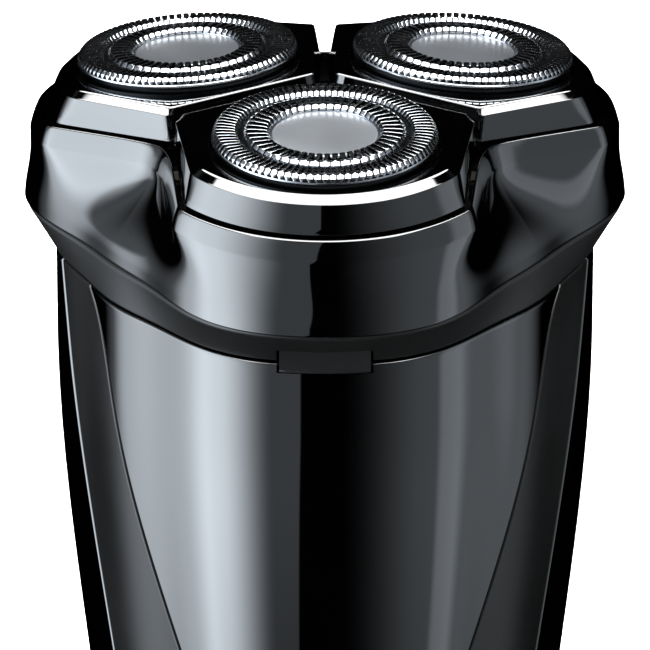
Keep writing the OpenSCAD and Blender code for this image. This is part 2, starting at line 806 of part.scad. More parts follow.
module head_band() {
    color(satin_grey) difference() {
        union() {
            ring_loft([
                band_row(0, 0, band_low),
                band_row(0.45, 0, mix(band_low, seam_z, 0.45)),
                band_row(0.92, 0, seam_z - 0.5),
                band_row(1, 0.35, seam_z - 0.05),
                band_row(1, band_wall, seam_z - 0.05),
                band_row(0, band_wall, band_low)
            ]);
            hinge_tongue();
            for (side = [-1, 1]) translate([side * (catch_x + catch_w / 2) - catch_w / 2, catch_y - 1.6, catch_z])
                cube([catch_w, 1.6, catch_t]);
        }
        translate([0, -front_reach, band_low + 1])
            cube(
                [release_w + 2 * part_gap, 12, 2 * (release_z + release_h + part_gap - band_low - 1)], center = true
            );
        for (x = [-hinge_half - part_gap, hinge_half - ear_w - part_gap])
            translate([x, hinge_y - knuckle_r - part_gap - 3, band_low - 1])
                cube([ear_w + 2 * part_gap, 10, hinge_z + knuckle_r + part_gap - band_low + 1]);
        translate([-hinge_half - 1, hinge_y, hinge_z]) rotate([0, 90, 0])
            cylinder(r = pin_r + fit_gap, h = 2 * hinge_half + 2);
    }
}

// The band's own hinge knuckle, between the handle's two ears
module hinge_tongue() {
    w = hinge_half - ear_w - part_gap;
    translate([-w, hinge_y, hinge_z]) rotate([0, 90, 0]) cylinder(r = knuckle_r - 0.6, h = 2 * w);
    translate([-w, hinge_y - knuckle_r + 0.5, hinge_z]) cube([2 * w, knuckle_r + 0.3, seam_z - hinge_z - 0.2]);
}

crease_d = 1.3;                     // the crease stands this far outside the petals' feet
module head_housing() {
    inner = housing_wall;
    function row(z, lip_d, d) = [for (a = [0:3:357]) head_point(a, z, lip_d, d)];
    function lip_row(lip_d, drop) = [
        for (a = [0:3:357])
            let (r = lip_radius(a, lip_d)) [head_stretch * r * cos(a), r * sin(a), lip_z(a, r) - drop]
    ];
    color(gloss_black) for (a = valley_az) rotate(a) difference() {
        union() {
            translate([floor_screw_r, 0, seam_z]) cylinder(r = 2.3, h = 3);
            translate([floor_screw_r, -0.9, seam_z]) cube([3.6, 1.8, 3]);
        }
        translate([floor_screw_r, 0, seam_z - 1]) cylinder(r = 1, h = 3);
    }
    color(gloss_black) ring_loft([
        row(seam_z, crease_d, 0),
        row(seam_z + 1.2, crease_d, 0),
        row(seam_z + 3.8, crease_d, 0),
        row(seam_z + 6.4, crease_d, 0),
        row(crease_z, crease_d, 0),
        lip_row(1.05, 0.5),
        lip_row(0.75, 0.05),
        lip_row(0.45, 0.3),
        lip_row(0.4, 1.2),
        row(crease_z - 0.4, crease_d, inner),
        row(seam_z + 5.2, crease_d, inner),
        row(seam_z + 2.4, crease_d, inner),
        row(seam_z, crease_d, inner)
    ]);
}

floor_t = 1.4;
floor_z = seam_z - 1.5;
floor_top = floor_z + floor_t;
bearing_h = 2;
post_w = 3.2;
post_v = well_r + part_gap;
post_t = 1.5;
floor_screw_r = 22;

module chamber_floor() {
    color(inner_grey) difference() {
        union() {
            translate([0, 0, floor_z]) linear_extrude(height = floor_t)
                polygon([
                    for (p = band_row((floor_z - band_low) / (seam_z - band_low), band_wall + part_gap, 0))
                        [p[0], p[1]]
                ]);
            for (i = [0:2]) {
                at_drive(i) translate([0, 0, floor_z]) cylinder(r = 3.4, h = floor_t + bearing_h);
                rotate(head_az[i]) for (side = [-1, 1])
                    translate([pivot_r - post_w / 2, side * (post_v + post_t / 2) - post_t / 2, floor_z])
                        cube([post_w, post_t, pivot_z + post_w / 2 - floor_z]);
            }
        }
        for (i = [0:2]) {
            at_drive(i) translate([0, 0, floor_z - 1]) cylinder(r = neck_r + fit_gap, h = floor_t + bearing_h + 2);
            rotate(head_az[i]) translate([pivot_r, 0, pivot_z]) rotate([90, 0, 0])
                cylinder(r = pivot_pin_r + fit_gap, h = 2 * (post_v + post_t) + 2, center = true);
        }
        for (a = valley_az) rotate(a) translate([floor_screw_r, 0, floor_z - 1]) cylinder(r = 1, h = floor_t + 2);
        translate([-hinge_half, hinge_y - knuckle_r - 1.2, floor_z - 1]) cube([2 * hinge_half, 10, floor_t + 2]);
    }
}

module floor_screws() {
    color(steel) for (a = valley_az) rotate(a) translate([floor_screw_r, 0, floor_z]) rotate([180, 0, 0])
        screw(1, 1.8, 0.9, floor_t + 1.2);
}

// Coupling in the shaving unit: its cup takes the dog below, its tip turns the cutter above
neck_r = 1.6;
cup_r = 4;
cup_socket_r = 3.4;
cup_low = band_low + 0.2;
cup_top = floor_z - 0.2;
tip_r = 2.1;
tip_top = pivot_z + 1.5;
module drive_coupling(i) {
    color("#d9d6cc") at_drive(i) {
        difference() {
            translate([0, 0, cup_low]) cylinder(r = cup_r, h = cup_top - cup_low);
            translate([0, 0, cup_low - 1]) hexagon(cup_socket_r, split_z + dog_h + 0.4 - cup_low + 1);
        }
        translate([0, 0, cup_top - 0.1]) cylinder(r = neck_r, h = floor_top + bearing_h + 0.4 - cup_top);
        translate([0, 0, floor_top + bearing_h + 0.2]) cylinder(r = 2.7, h = 1);
        translate([0, 0, floor_top + bearing_h + 1.1]) hexagon(tip_r, tip_top - floor_top - bearing_h - 1.1);
    }
}

// ---- shaving heads, drawn around the head's centre with +X outwards --------------------------

// Outline of a petal at one level, drawn about its head's centre: the slot sides meet at the
// inner tip, and the round outer edge runs between straight flanks
function petal_ring(arc_r, side, slope, slot, crisp, z) =
    let (
        reach = (side - slope * slot / sin(60)) / (sin(60) + slope * cos(60)),
        corner = [slot / sin(60) + reach * cos(60), reach * sin(60)],
        turn = atan2(corner[1], corner[0]) - 2
    )
    concat(
        [[slot / sin(60) - head_r, 0, z], [corner[0] - head_r, -corner[1], z]],
        [
            for (k = [0:arc_steps])
                let (psi = mix(-turn, turn, k / arc_steps), r = lobe_edge(psi, arc_r, side, slope, crisp))
                [r * cos(psi) - head_r, r * sin(psi), z]
        ],
        [[corner[0] - head_r, corner[1], z]]
    );

arc_steps = 22;
foot_slot = 0.85;
petal_side = 18.1;                  // straight flanks at the lower edge of the bevel
petal_slope = 0.14;
foot_drop = 3.93;
petal_wall = 1.2;
spring_x = -12.4;
spring_seat_r = 1.6;
spring_seat_drop = 10.2;

bevel_crisp = 120;
face_crisp = 100;
foot_crisp = 150;                   // sharpness of the corners at the foot of a petal

// Outer surface of a petal: skirt, wall, bevel and face
module petal_shell() {
    bevel_r = petal_top_r + petal_bevel;
    bevel_slot = petal_slot - 0.15;
    capped_loft([
        petal_ring(petal_foot_r, lobe_side, lobe_slope, foot_slot, foot_crisp, -skirt_drop),
        petal_ring(petal_foot_r, lobe_side, lobe_slope, foot_slot, foot_crisp, -foot_drop),
        petal_ring(bevel_r, petal_side, petal_slope, bevel_slot, bevel_crisp, -chamfer_drop),
        petal_ring(petal_top_r, petal_side - petal_bevel, petal_slope, petal_slot, face_crisp, -face_drop)
    ]);
}

// Room inside that shell
module petal_hollow() {
    w = petal_wall;
    face_side = petal_side - petal_bevel;
    capped_loft([
        petal_ring(petal_foot_r - w, lobe_side - w, lobe_slope, foot_slot + w, foot_crisp, -skirt_drop - 0.5),
        petal_ring(petal_foot_r - w, lobe_side - w, lobe_slope, foot_slot + w, foot_crisp, -foot_drop),
        petal_ring(petal_top_r - w, face_side - w, petal_slope, petal_slot + w, face_crisp, -chamfer_drop - w)
    ]);
}

module petal(i) {
    color(gloss_black) at_head(i) {
        difference() {
            union() {
                petal_shell();
                translate([0, 0, -well_drop]) cylinder(r = well_r, h = well_drop - 2);
            }
            difference() {
                petal_hollow();
                translate([0, 0, -well_drop]) cylinder(r = well_r, h = well_drop);
            }
            translate([0, 0, -well_drop - 1]) cylinder(r = well_bore, h = well_drop + 2);
            translate([0, 0, -well_drop - 1]) cylinder(r = well_counterbore, h = well_drop + 1 - ledge_drop);
        }
        for (side = [-1, 1]) translate([0, side * (well_r - 0.35), -pivot_drop]) rotate([-90 * side, 0, 0])
            cylinder(r = pivot_pin_r, h = post_t + part_gap + 0.25);
        translate([spring_x, 0, -spring_seat_drop]) cylinder(r = spring_seat_r, h = 1.05);
    }
}

ring_drop = guard_travel + 3.6;
ring_bore = well_counterbore - 1.4;
tab_reach = 2.3;                    // the ring's four tabs reach in this far
tab_w = 2;
tab_t = 0.8;
module retaining_ring(i) {
    color("#2b2d30") at_head(i) translate([0, 0, -well_drop + 0.1]) {
        tube(well_counterbore - fit_gap, ring_bore, well_drop - 0.1 - ring_drop);
        for (k = [0:3]) rotate(45 + 90 * k) translate([ring_bore - tab_reach, -tab_w / 2, 0])
            cube([tab_reach + 0.3, tab_w, tab_t]);
    }
}

module petal_spring(i) {
    color(steel) at_head_spring(i) coil(1.2, 0.2, spring_len, 5);
}

// The spring stands upright on the chamber floor below its seat on the petal
spring_r = head_r + spring_x * cos(head_tilt) - spring_seat_drop * sin(head_tilt);
spring_top = plane_z - spring_x * sin(head_tilt) - spring_seat_drop * cos(head_tilt);
spring_len = spring_top - 0.25 - floor_top;
module at_head_spring(i) {
    rotate(head_az[i]) translate([spring_r, 0, floor_top]) children();
}

groove_r = 9.15;
groove_w = 0.5;
recess_r = 5.9;
recess_drop = 0.2;
guard_flange_r = 13;
blade_gap = 0.25;

// Section of a guard: flange, side, outer track, groove, inner track and the middle
module guard_section() {
    s = guard_sheet;
    top = guard_rise;
    polygon([
        [0, recess_drop - s], [recess_r - s, recess_drop - s], [recess_r, top - s], [groove_r - groove_w, top - s],
        [groove_r - groove_w, top - s - 0.7], [groove_r + groove_w, top - s - 0.7], [groove_r + groove_w, top - s],
        [guard_r - s - 0.3, top - s], [guard_r - s, top - s - 0.4], [guard_r - s, -ledge_drop - 0.6],
        [guard_flange_r, -ledge_drop - 0.6], [guard_flange_r, -ledge_drop - seat_gap],
        [guard_r, -ledge_drop - seat_gap],
        [guard_r, top - 0.5], [guard_r - 0.5, top], [groove_r + groove_w - s, top],
        [groove_r + groove_w - s, top - 0.7], [groove_r - groove_w + s, top - 0.7], [groove_r - groove_w + s, top],
        [recess_r, top], [recess_r - s, recess_drop], [0, recess_drop]
    ]);
}

module guard(i) {
    color(steel) at_head(i) difference() {
        rotate_extrude() guard_section();
        for (k = [0:guard_slots - 1]) rotate(360 * k / guard_slots)
            translate([groove_r + groove_w + 0.5, -slot_w / 2, guard_rise - 0.9]) cube([3, slot_w, 2]);
        for (k = [0:guard_slots - 1]) rotate(360 * (k + 0.5) / guard_slots)
            translate([recess_r + 0.5, -slot_w / 2, guard_rise - guard_sheet - 0.2]) cube([1.9, slot_w, 2]);
    }
}

module guard_cap(i) {
    color("#2a2d31") at_head(i) translate([0, 0, recess_drop]) rotate_extrude() polygon([
        [0, 0], [recess_r - guard_sheet - 0.15, 0], [recess_r - guard_sheet - 0.15, 0.35],
        [recess_r - guard_sheet - 0.5, 0.55], [0, 0.55]
    ]);
}

// A cutter: hub with a six-sided socket, web and two rows of blades under the guard's tracks
web_drop = 4.1;
cutter_hub_r = 4.2;
cutter_hub_drop = 9;
cutter_socket_r = 3;
module cutter(i) {
    blade_top = guard_rise - guard_sheet - blade_gap;
    color("#c9c4b4") at_head(i) {
        difference() {
            union() {
                translate([0, 0, -cutter_hub_drop]) cylinder(r = cutter_hub_r, h = cutter_hub_drop - web_drop);
                translate([0, 0, -web_drop - 0.6]) cylinder(r = 11.2, h = 0.8);
            }
            translate([0, 0, -cutter_hub_drop - 1]) hexagon(cutter_socket_r, cutter_hub_drop - web_drop);
            for (k = [0:blade_count - 1]) rotate(360 * (k + 0.5) / blade_count) translate([7.3, 0, -web_drop - 1])
                cylinder(r = 1.5, h = 2);
        }
        for (k = [0:blade_count - 1]) rotate(360 * k / blade_count) {
            translate([groove_r + groove_w + 0.35, -0.25, -web_drop]) cube([1.6, 0.5, web_drop + blade_top]);
            translate([recess_r + 0.55, -0.25, -web_drop]) cube([1.7, 0.5, web_drop + blade_top]);
        }
    }
}

rear_shell();
front_panel();
front_grip();
base_cap();
base_screws();
top_deck();
shaft_seals();
deck_screws();
gear_plate();
plate_screws();
motor();
motor_shaft();
pinion_gear();
drive_gear(0);  // drive_gear_1
drive_gear(1);  // drive_gear_2
drive_gear(2);  // drive_gear_3
drive_shaft(0);  // drive_shaft_1
drive_shaft(1);  // drive_shaft_2
drive_shaft(2);  // drive_shaft_3
chassis();
battery();
battery_tabs();
circuit_board();
board_parts();
power_switch();
power_button();
button_seal();
status_lens();
charge_socket();
release_button();
release_springs();
hinge_pin();
head_band();
head_housing();
chamber_floor();
floor_screws();
drive_coupling(0);  // drive_coupling_1
drive_coupling(1);  // drive_coupling_2
drive_coupling(2);  // drive_coupling_3
petal(0);  // petal_1
petal(1);  // petal_2
petal(2);  // petal_3
petal_spring(0);  // petal_spring_1
petal_spring(1);  // petal_spring_2
petal_spring(2);  // petal_spring_3
retaining_ring(0);  // retaining_ring_1
retaining_ring(1);  // retaining_ring_2
retaining_ring(2);  // retaining_ring_3
cutter(0);  // cutter_1
cutter(1);  // cutter_2
cutter(2);  // cutter_3
guard(0);  // guard_1
guard(1);  // guard_2
guard(2);  // guard_3
guard_cap(0);  // guard_cap_1
guard_cap(1);  // guard_cap_2
guard_cap(2);  // guard_cap_3
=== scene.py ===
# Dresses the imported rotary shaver: skins, petals, guards, buttons and finishes.
import json
import math
import bmesh
import bpy
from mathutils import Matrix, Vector


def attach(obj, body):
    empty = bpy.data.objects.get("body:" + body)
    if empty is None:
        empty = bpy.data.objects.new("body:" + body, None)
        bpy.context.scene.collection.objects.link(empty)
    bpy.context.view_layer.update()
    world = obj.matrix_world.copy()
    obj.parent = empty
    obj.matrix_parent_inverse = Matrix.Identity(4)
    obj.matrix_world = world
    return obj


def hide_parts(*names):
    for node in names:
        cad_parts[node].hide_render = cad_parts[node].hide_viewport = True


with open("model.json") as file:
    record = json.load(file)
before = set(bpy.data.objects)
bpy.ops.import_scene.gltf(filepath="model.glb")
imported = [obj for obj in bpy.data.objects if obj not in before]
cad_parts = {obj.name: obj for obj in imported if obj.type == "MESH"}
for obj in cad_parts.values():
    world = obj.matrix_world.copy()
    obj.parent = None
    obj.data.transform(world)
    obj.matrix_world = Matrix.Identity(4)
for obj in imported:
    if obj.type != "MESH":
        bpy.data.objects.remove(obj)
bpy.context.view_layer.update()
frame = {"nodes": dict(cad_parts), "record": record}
record = frame["record"]
print("frame loaded:", len(frame["nodes"]), "nodes")

mm = 0.001

# ---- sizes shared by the pieces, in millimetres ----------------------------------------------

levels = {
    "handleTop": 134.4,     # joint of the handle and the shaving unit
    "collarLow": 134.7,
    "seam": 139.6,          # collar to housing
    "plane": 156.0,         # shaving plane
}
front = 270.0               # azimuth of the front lobe, in degrees
headAz = (270.0, 30.0, 150.0)
headR = 17.95               # middle of the unit to the centre of each shaving head
headTilt = 4.4
lipDrop = 4.5               # the lip's crest lies this far below the shaving plane
lobe = {
    "centre": 14.75, "footR": 18.95, "side": 17.6, "slope": 0.09,
    "crisp": 150,           # how sharply an arc meets its flank
    "merge": 14,            # and how sharply two lobes meet
}
# rounded three-sided outlines; stretch is their width against their depth
handleForm = {
    "mean": 28.65, "bulge": 2.42, "square": 0.31, "stretch": 1.027,
    "waist": 0.207,         # share by which the handle narrows, over waistLength below waistTop
    "waistTop": 125, "waistLength": 80,
    "footHeight": 7, "footIn": 3,
}
seamForm = {"mean": 31.45, "bulge": 4.67, "square": 0.33, "stretch": 1.01}
hinge = {
    "axis": (25.6, 135.6),  # depth and height of the pin
    "knuckleR": 1.4, "knuckleHalf": 3.7,
    "earX": 7.3, "earW": 3.6,       # the handle's two ears, outside the knuckle
    "earIn": 20.3, "earOut": 31, "earTop": 137.9,
    "clearR": 2.3,          # room for the hinge in the rear skin
}
outside = -40               # a depth well in front of the shaver, where cutters start


def cosd(a):
    return math.cos(math.radians(a))


def sind(a):
    return math.sin(math.radians(a))


def mix(a, b, t):
    return a + (b - a) * t


def smooth(t):
    t = max(0.0, min(1.0, t))
    return t * t * (3 - 2 * t)


def steps(a, b, n):
    return [mix(a, b, i / n) for i in range(n + 1)]


def away(a, b):
    d = abs(a - b) % 360
    return min(d, 360 - d)


def offAxis(a):                 # angle to the nearest shaving head's axis
    return min(away(a, h) for h in headAz)


def formRadius(form, a):
    f = 3 * (a - front)
    return form["mean"] + form["bulge"] * cosd(f) - form["square"] * cosd(3 * f)


def handleRadius(a, z):
    form = handleForm
    narrow = 1 - form["waist"] * smooth((form["waistTop"] - z) / form["waistLength"])
    under = max(0.0, form["footHeight"] - z) / form["footHeight"]
    foot = form["footIn"] * (1 - math.sqrt(1 - under ** 2))
    return formRadius(form, a) * narrow - foot


def handlePoint(a, z, d):
    r = handleRadius(a, z) - d
    return (handleForm["stretch"] * r * cosd(a), r * sind(a), z)


def seamRadius(a):
    return formRadius(seamForm, a)


def lobeEdge(psi, arcR, side, slope, crisp):
    c = lobe["centre"]
    arc = c * cosd(psi) + math.sqrt(arcR * arcR - (c * sind(psi)) ** 2)
    flank = side / (abs(sind(psi)) + slope * cosd(psi))
    return arc * (1 + (arc / flank) ** crisp) ** (-1 / crisp)


def lipRadius(a, d):
    near = [lobeEdge(away(a, h), lobe["footR"] + d, lobe["side"] + d, lobe["slope"], lobe["crisp"])
            for h in headAz if away(a, h) < 89]
    return sum(r ** lobe["merge"] for r in near) ** (1 / lobe["merge"])


def lipZ(a, r):
    return levels["plane"] - lipDrop * cosd(headTilt) - (r * cosd(offAxis(a)) - headR) * sind(headTilt)


# ---- materials -------------------------------------------------------------------------------

def linear(code):               # sRGB hex to linear colour
    parts = [int(code[i:i + 2], 16) / 255 for i in (1, 3, 5)]
    return tuple(c / 12.92 if c <= 0.04045 else ((c + 0.055) / 1.055) ** 2.4 for c in parts) + (1.0,)


def addNode(tree, kind, values=None, links=None, **settings):
    node = tree.nodes.new(kind)
    for key, value in settings.items():
        setattr(node, key, value)
    for key, value in (values or {}).items():
        node.inputs[key].default_value = value
    for key, source in (links or {}).items():
        tree.links.new(source, node.inputs[key])
    return node


def surface(name, code, roughness, metallic=0.0, ior=1.5, coat=0.0, coatRoughness=0.03, grain=None,
            wear=None):
    material = bpy.data.materials.new(name)
    material.use_nodes = True
    tree = material.node_tree
    shader = tree.nodes["Principled BSDF"]
    shader.inputs["Base Color"].default_value = linear(code)
    shader.inputs["Roughness"].default_value = roughness
    shader.inputs["Metallic"].default_value = metallic
    if not metallic:
        shader.inputs["IOR"].default_value = ior
    shader.inputs["Coat Weight"].default_value = coat
    shader.inputs["Coat Roughness"].default_value = coatRoughness
    shader.inputs["Coat IOR"].default_value = 1.6
    coords = addNode(tree, "ShaderNodeTexCoord").outputs["Object"]
    if grain:                   # fine moulded or ground texture: size and height in millimetres
        noise = addNode(tree, "ShaderNodeTexNoise", {"Scale": 1 / (grain["size"] * mm), "Detail": 3.0},
                        {"Vector": coords})
        depth = {"Strength": grain["strength"], "Distance": grain["height"] * mm}
        bump = addNode(tree, "ShaderNodeBump", depth, {"Height": noise.outputs["Fac"]})
        tree.links.new(bump.outputs["Normal"], shader.inputs["Normal"])
    if wear:                    # slow change of gloss and tone, as from handling
        cloud = addNode(tree, "ShaderNodeTexNoise", {"Scale": 1 / (wear["size"] * mm), "Detail": 5.0},
                        {"Vector": coords})
        span = {"From Min": 0.3, "From Max": 0.7, "To Min": roughness, "To Max": roughness + wear["gloss"]}
        gloss = addNode(tree, "ShaderNodeMapRange", span, {"Value": cloud.outputs["Fac"]})
        tree.links.new(gloss.outputs["Result"], shader.inputs["Roughness"])
        tone = addNode(tree, "ShaderNodeMix", {6: linear(code), 7: linear(wear["tone"])},
                       {0: cloud.outputs["Fac"]}, data_type="RGBA")
        tree.links.new(tone.outputs[2], shader.inputs["Base Color"])
    return material


finishes = {
    # ABS moulded in a mirror-polished tool under clear lacquer: deep black that shows every light
    "glossBlack": surface("lacquered gloss ABS", "#000000", 0.03, ior=1.5, coat=1.0, coatRoughness=0.02,
                          wear={"size": 14, "gloss": 0.02, "tone": "#010101"}),
    # the same plastic from a spark-eroded tool: fine grain that spreads the light
    "satinBlack": surface("moulded satin ABS", "#0e0f10", 0.36, ior=1.45,
                          grain={"size": 0.35, "height": 0.012, "strength": 0.25},
                          wear={"size": 18, "gloss": 0.06, "tone": "#070707"}),
    "softGrip": surface("moulded satin TPE grip", "#040404", 0.28, ior=1.45,
                        grain={"size": 0.4, "height": 0.012, "strength": 0.2},
                        wear={"size": 22, "gloss": 0.07, "tone": "#070707"}),
    # stamped and lapped stainless steel, the ribs of the guards
    "guardSteel": surface("stamped stainless steel", "#b4b7bb", 0.14, metallic=1.0,
                          grain={"size": 0.25, "height": 0.002, "strength": 0.1},
                          wear={"size": 3, "gloss": 0.03, "tone": "#a4a7ab"}),
    "groundSteel": surface("ground spring steel", "#a9adb2", 0.24, metallic=1.0,
                           grain={"size": 0.2, "height": 0.01, "strength": 0.3},
                           wear={"size": 4, "gloss": 0.12, "tone": "#8d9196"}),
    # the same steel painted dark as shade, where shade falls in the guard: its skirt, its groove and the
    # walls of its slits
    "paintedShadeSteel": surface("stainless steel painted dark as shade", "#26282b", 0.22, metallic=1.0,
                         grain={"size": 0.3, "height": 0.006, "strength": 0.2},
                         wear={"size": 4, "gloss": 0.08, "tone": "#1d1f21"}),
    # fine satin nickel: mirrors the ribs round it softly
    "capSteel": surface("satin nickel cap", "#a6aaaf", 0.29, metallic=1.0,
                        wear={"size": 6, "gloss": 0.03, "tone": "#9ea2a7"}),
    "innerPlastic": surface("moulded black POM", "#1b1c1e", 0.42,
                            grain={"size": 0.5, "height": 0.02, "strength": 0.3},
                            wear={"size": 9, "gloss": 0.1, "tone": "#232427"}),
    "gearPlastic": surface("moulded natural POM", "#d9d4c6", 0.36,
                           grain={"size": 0.5, "height": 0.015, "strength": 0.2},
                           wear={"size": 7, "gloss": 0.1, "tone": "#cfc9b8"}),
    "rubber": surface("moulded EPDM rubber", "#101112", 0.62,
                      grain={"size": 0.4, "height": 0.03, "strength": 0.4},
                      wear={"size": 6, "gloss": 0.1, "tone": "#17181a"}),
    "canSteel": surface("drawn zinc-plated steel can", "#a3a7a9", 0.3, metallic=1.0,
                        grain={"size": 0.6, "height": 0.01, "strength": 0.3},
                        wear={"size": 8, "gloss": 0.12, "tone": "#8c9092"}),
    "cellSleeve": surface("heat-shrunk PET sleeve", "#2f6485", 0.3,
                          grain={"size": 1.2, "height": 0.02, "strength": 0.2},
                          wear={"size": 12, "gloss": 0.08, "tone": "#376f92"}),
    "solderMask": surface("solder-masked laminate", "#0f4a2e", 0.28,
                          grain={"size": 0.5, "height": 0.01, "strength": 0.3},
                          wear={"size": 5, "gloss": 0.1, "tone": "#13573a"}),
    "lens": surface("frosted PMMA light pipe", "#7f858b", 0.3,
                    wear={"size": 3, "gloss": 0.08, "tone": "#8b9196"}),
}
slotFinish = {
    "gloss_black": "glossBlack", "satin_grey": "satinBlack", "inner_plastic": "innerPlastic",
    "gear_plastic": "gearPlastic", "steel": "groundSteel", "guard_steel": "guardSteel",
    "cap_mirror": "capSteel", "rubber": "rubber", "motor_can": "canSteel", "cell_sleeve": "cellSleeve",
    "board_green": "solderMask", "lens_clear": "lens",
}
for part in record["subparts"]:
    shown = frame["nodes"][part["node"]]
    shown.data.materials.clear()
    shown.data.materials.append(finishes[slotFinish[part["material_slot"]]])
print("finishes made:", len(finishes))

# ---- mesh helpers ----------------------------------------------------------------------------


def toObject(name, points, faces, finish, sharp=None):
    mesh = bpy.data.meshes.new(name)
    mesh.from_pydata([tuple(c * mm for c in p) for p in points], [], faces)
    mesh.validate()
    mesh.shade_smooth()
    if sharp:
        mesh.set_sharp_from_angle(angle=math.radians(sharp))
    piece = bpy.data.objects.new(name, mesh)
    bpy.context.scene.collection.objects.link(piece)
    mesh.materials.append(finishes[finish])
    return piece


def place(piece, body, nodes=()):
    if nodes:
        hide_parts(*nodes)
    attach(piece, body)
    return piece


def loopSolid(rows):            # rows form a closed section, each row a full turn
    n, m = len(rows), len(rows[0])
    points = [p for row in rows for p in row]
    faces = []
    for k in range(n):
        for j in range(m):
            u, v = (k + 1) % n, (j + 1) % m
            faces.append((k * m + j, k * m + v, u * m + v, u * m + j))
    return points, faces


def cappedSolid(rows):          # rows from one flat end to the other, each row a full turn
    n, m = len(rows), len(rows[0])
    points = [p for row in rows for p in row]
    faces = []
    for k in range(n - 1):
        for j in range(m):
            v = (j + 1) % m
            faces.append((k * m + j, k * m + v, (k + 1) * m + v, (k + 1) * m + j))
    faces.append(tuple(reversed(range(m))))
    faces.append(tuple(range((n - 1) * m, n * m)))
    return points, faces


def plateSolid(outer, inner):   # a curved plate between two grids of the same size
    n, m = len(outer), len(outer[0])
    half = n * m
    points = [p for row in outer for p in row] + [p for row in inner for p in row]
    faces = []
    for i in range(n - 1):
        for j in range(m - 1):
            a = i * m + j
            b = a + m
            faces.append((a, a + 1, b + 1, b))
            faces.append((half + a, half + b, half + b + 1, half + a + 1))
    for j in range(m - 1):
        a, b = j, (n - 1) * m + j
        faces.append((a, half + a, half + a + 1, a + 1))
        faces.append((b, b + 1, half + b + 1, half + b))
    for i in range(n - 1):
        a, b = i * m, i * m + m - 1
        faces.append((a, a + m, half + a + m, half + a))
        faces.append((b, half + b, half + b + m, b + m))
    return points, faces


def circle(x, y, r, count):
    return [(x + r * math.cos(2 * math.pi * k / count), y + r * math.sin(2 * math.pi * k / count))
            for k in range(count)]


def lathe(profile, count):      # a (radius, height) section turned about Z
    return [[(x, y, z) for x, y in circle(0, 0, r, count)] for r, z in profile]


def atHead(i, p):               # from a shaving head's own axes to the shaver's
    x, y, z = p
    u = headR + x * cosd(headTilt) + z * sind(headTilt)
    w = levels["plane"] - x * sind(headTilt) + z * cosd(headTilt)
    a = headAz[i]
    return (u * cosd(a) - y * sind(a), u * sind(a) + y * cosd(a), w)


def applied(piece):             # the evaluated mesh in place of the modifiers
    depsgraph = bpy.context.evaluated_depsgraph_get()
    mesh = bpy.data.meshes.new_from_object(piece.evaluated_get(depsgraph))
    piece.modifiers.clear()
    old = piece.data
    piece.data = mesh
    bpy.data.meshes.remove(old)
    return piece


def cutWith(piece, cutter):
    tool = piece.modifiers.new("cut", "BOOLEAN")
    tool.operation = "DIFFERENCE"
    tool.solver = "EXACT"
    tool.object = cutter
    applied(piece)
    bpy.data.objects.remove(cutter)


def blockCutter(low, high):
    points = [(x, y, z) for x in (low[0], high[0]) for y in (low[1], high[1]) for z in (low[2], high[2])]
    faces = [(0, 1, 3, 2), (4, 6, 7, 5), (0, 4, 5, 1), (2, 3, 7, 6), (0, 2, 6, 4), (1, 5, 7, 3)]
    return toObject("cutter", points, faces, "satinBlack")


def rodCutter(height, r):       # through the front of the handle, along +Y
    ring = circle(0, height, r, 96)
    points, faces = cappedSolid([[(x, y, z) for x, z in ring] for y in (outside, outside + 30)])
    faces = [tuple(reversed(f)) for f in faces]
    return toObject("cutter", points, faces, "satinBlack")


def hingeRod(name, half, r, count, sharp=None):
    ring = circle(*hinge["axis"], r, count)
    points, faces = cappedSolid([[(x, y, z) for y, z in ring] for x in (-half, half)])
    return toObject(name, points, faces, "satinBlack", sharp=sharp)


turns = 720
azimuths = [360 * j / turns for j in range(turns)]

# ---- housing of the shaving unit -------------------------------------------------------------

housing = {
    "creaseD": 1.3,         # the soft edge below the lip stands this far outside the petals' foot
    "creaseDrop": 2.25,
    "draft": 0.1,           # the wall leans out this much for each millimetre down
    "blend": 0.88,          # share of the wall's height over which the pockets fade out
    "soften": 11.0,         # rounding of the pockets at their foot, in degrees
    "wall": 1.15,
    # section of the lip: distance outside the petals' foot, and drop below the crest
    "lip": ((1.22, 1.95), (1.05, 1.3), (0.85, 0.7), (0.74, 0.42), (0.64, 0.2), (0.56, 0.06), (0.48, 0.0),
            (0.41, 0.05), (0.36, 0.18), (0.33, 0.4), (0.32, 0.8), (0.32, 1.6)),
}


def softened(ring, half):       # a ring of radii averaged over half degrees to either side
    n = len(ring)
    total = [0.0]
    for r in ring * 3:
        total.append(total[-1] + r)
    reach = 0.5 + half * n / 360

    def upTo(x):
        k = int(x)
        return mix(total[k], total[k + 1], x - k)

    return [(upTo(n + j + 0.5 + reach) - upTo(n + j + 0.5 - reach)) / (2 * reach) for j in range(n)]


lipRing = [lipRadius(a, housing["creaseD"]) for a in azimuths]


def housingWall(t, inset):
    h = housing
    half = mix(0.5, h["soften"], t)
    soft = softened(softened(lipRing, half), half)
    row = []
    for a, lip, r in zip(azimuths, softened(lipRing, 0.5), soft):
        z = mix(lipZ(a, lip) - h["creaseDrop"], levels["seam"], t)
        outline = seamRadius(a) - h["draft"] * (z - levels["seam"])
        r = mix(r, outline, smooth(t / h["blend"])) - inset
        row.append((seamForm["stretch"] * r * cosd(a), r * sind(a), z))
    return row


def housingLip(d, drop):
    ring = softened([lipRadius(a, d) for a in azimuths], 0.5 * d)
    wide = seamForm["stretch"]
    return [(wide * r * cosd(a), r * sind(a), lipZ(a, r) - drop) for a, r in zip(azimuths, ring)]


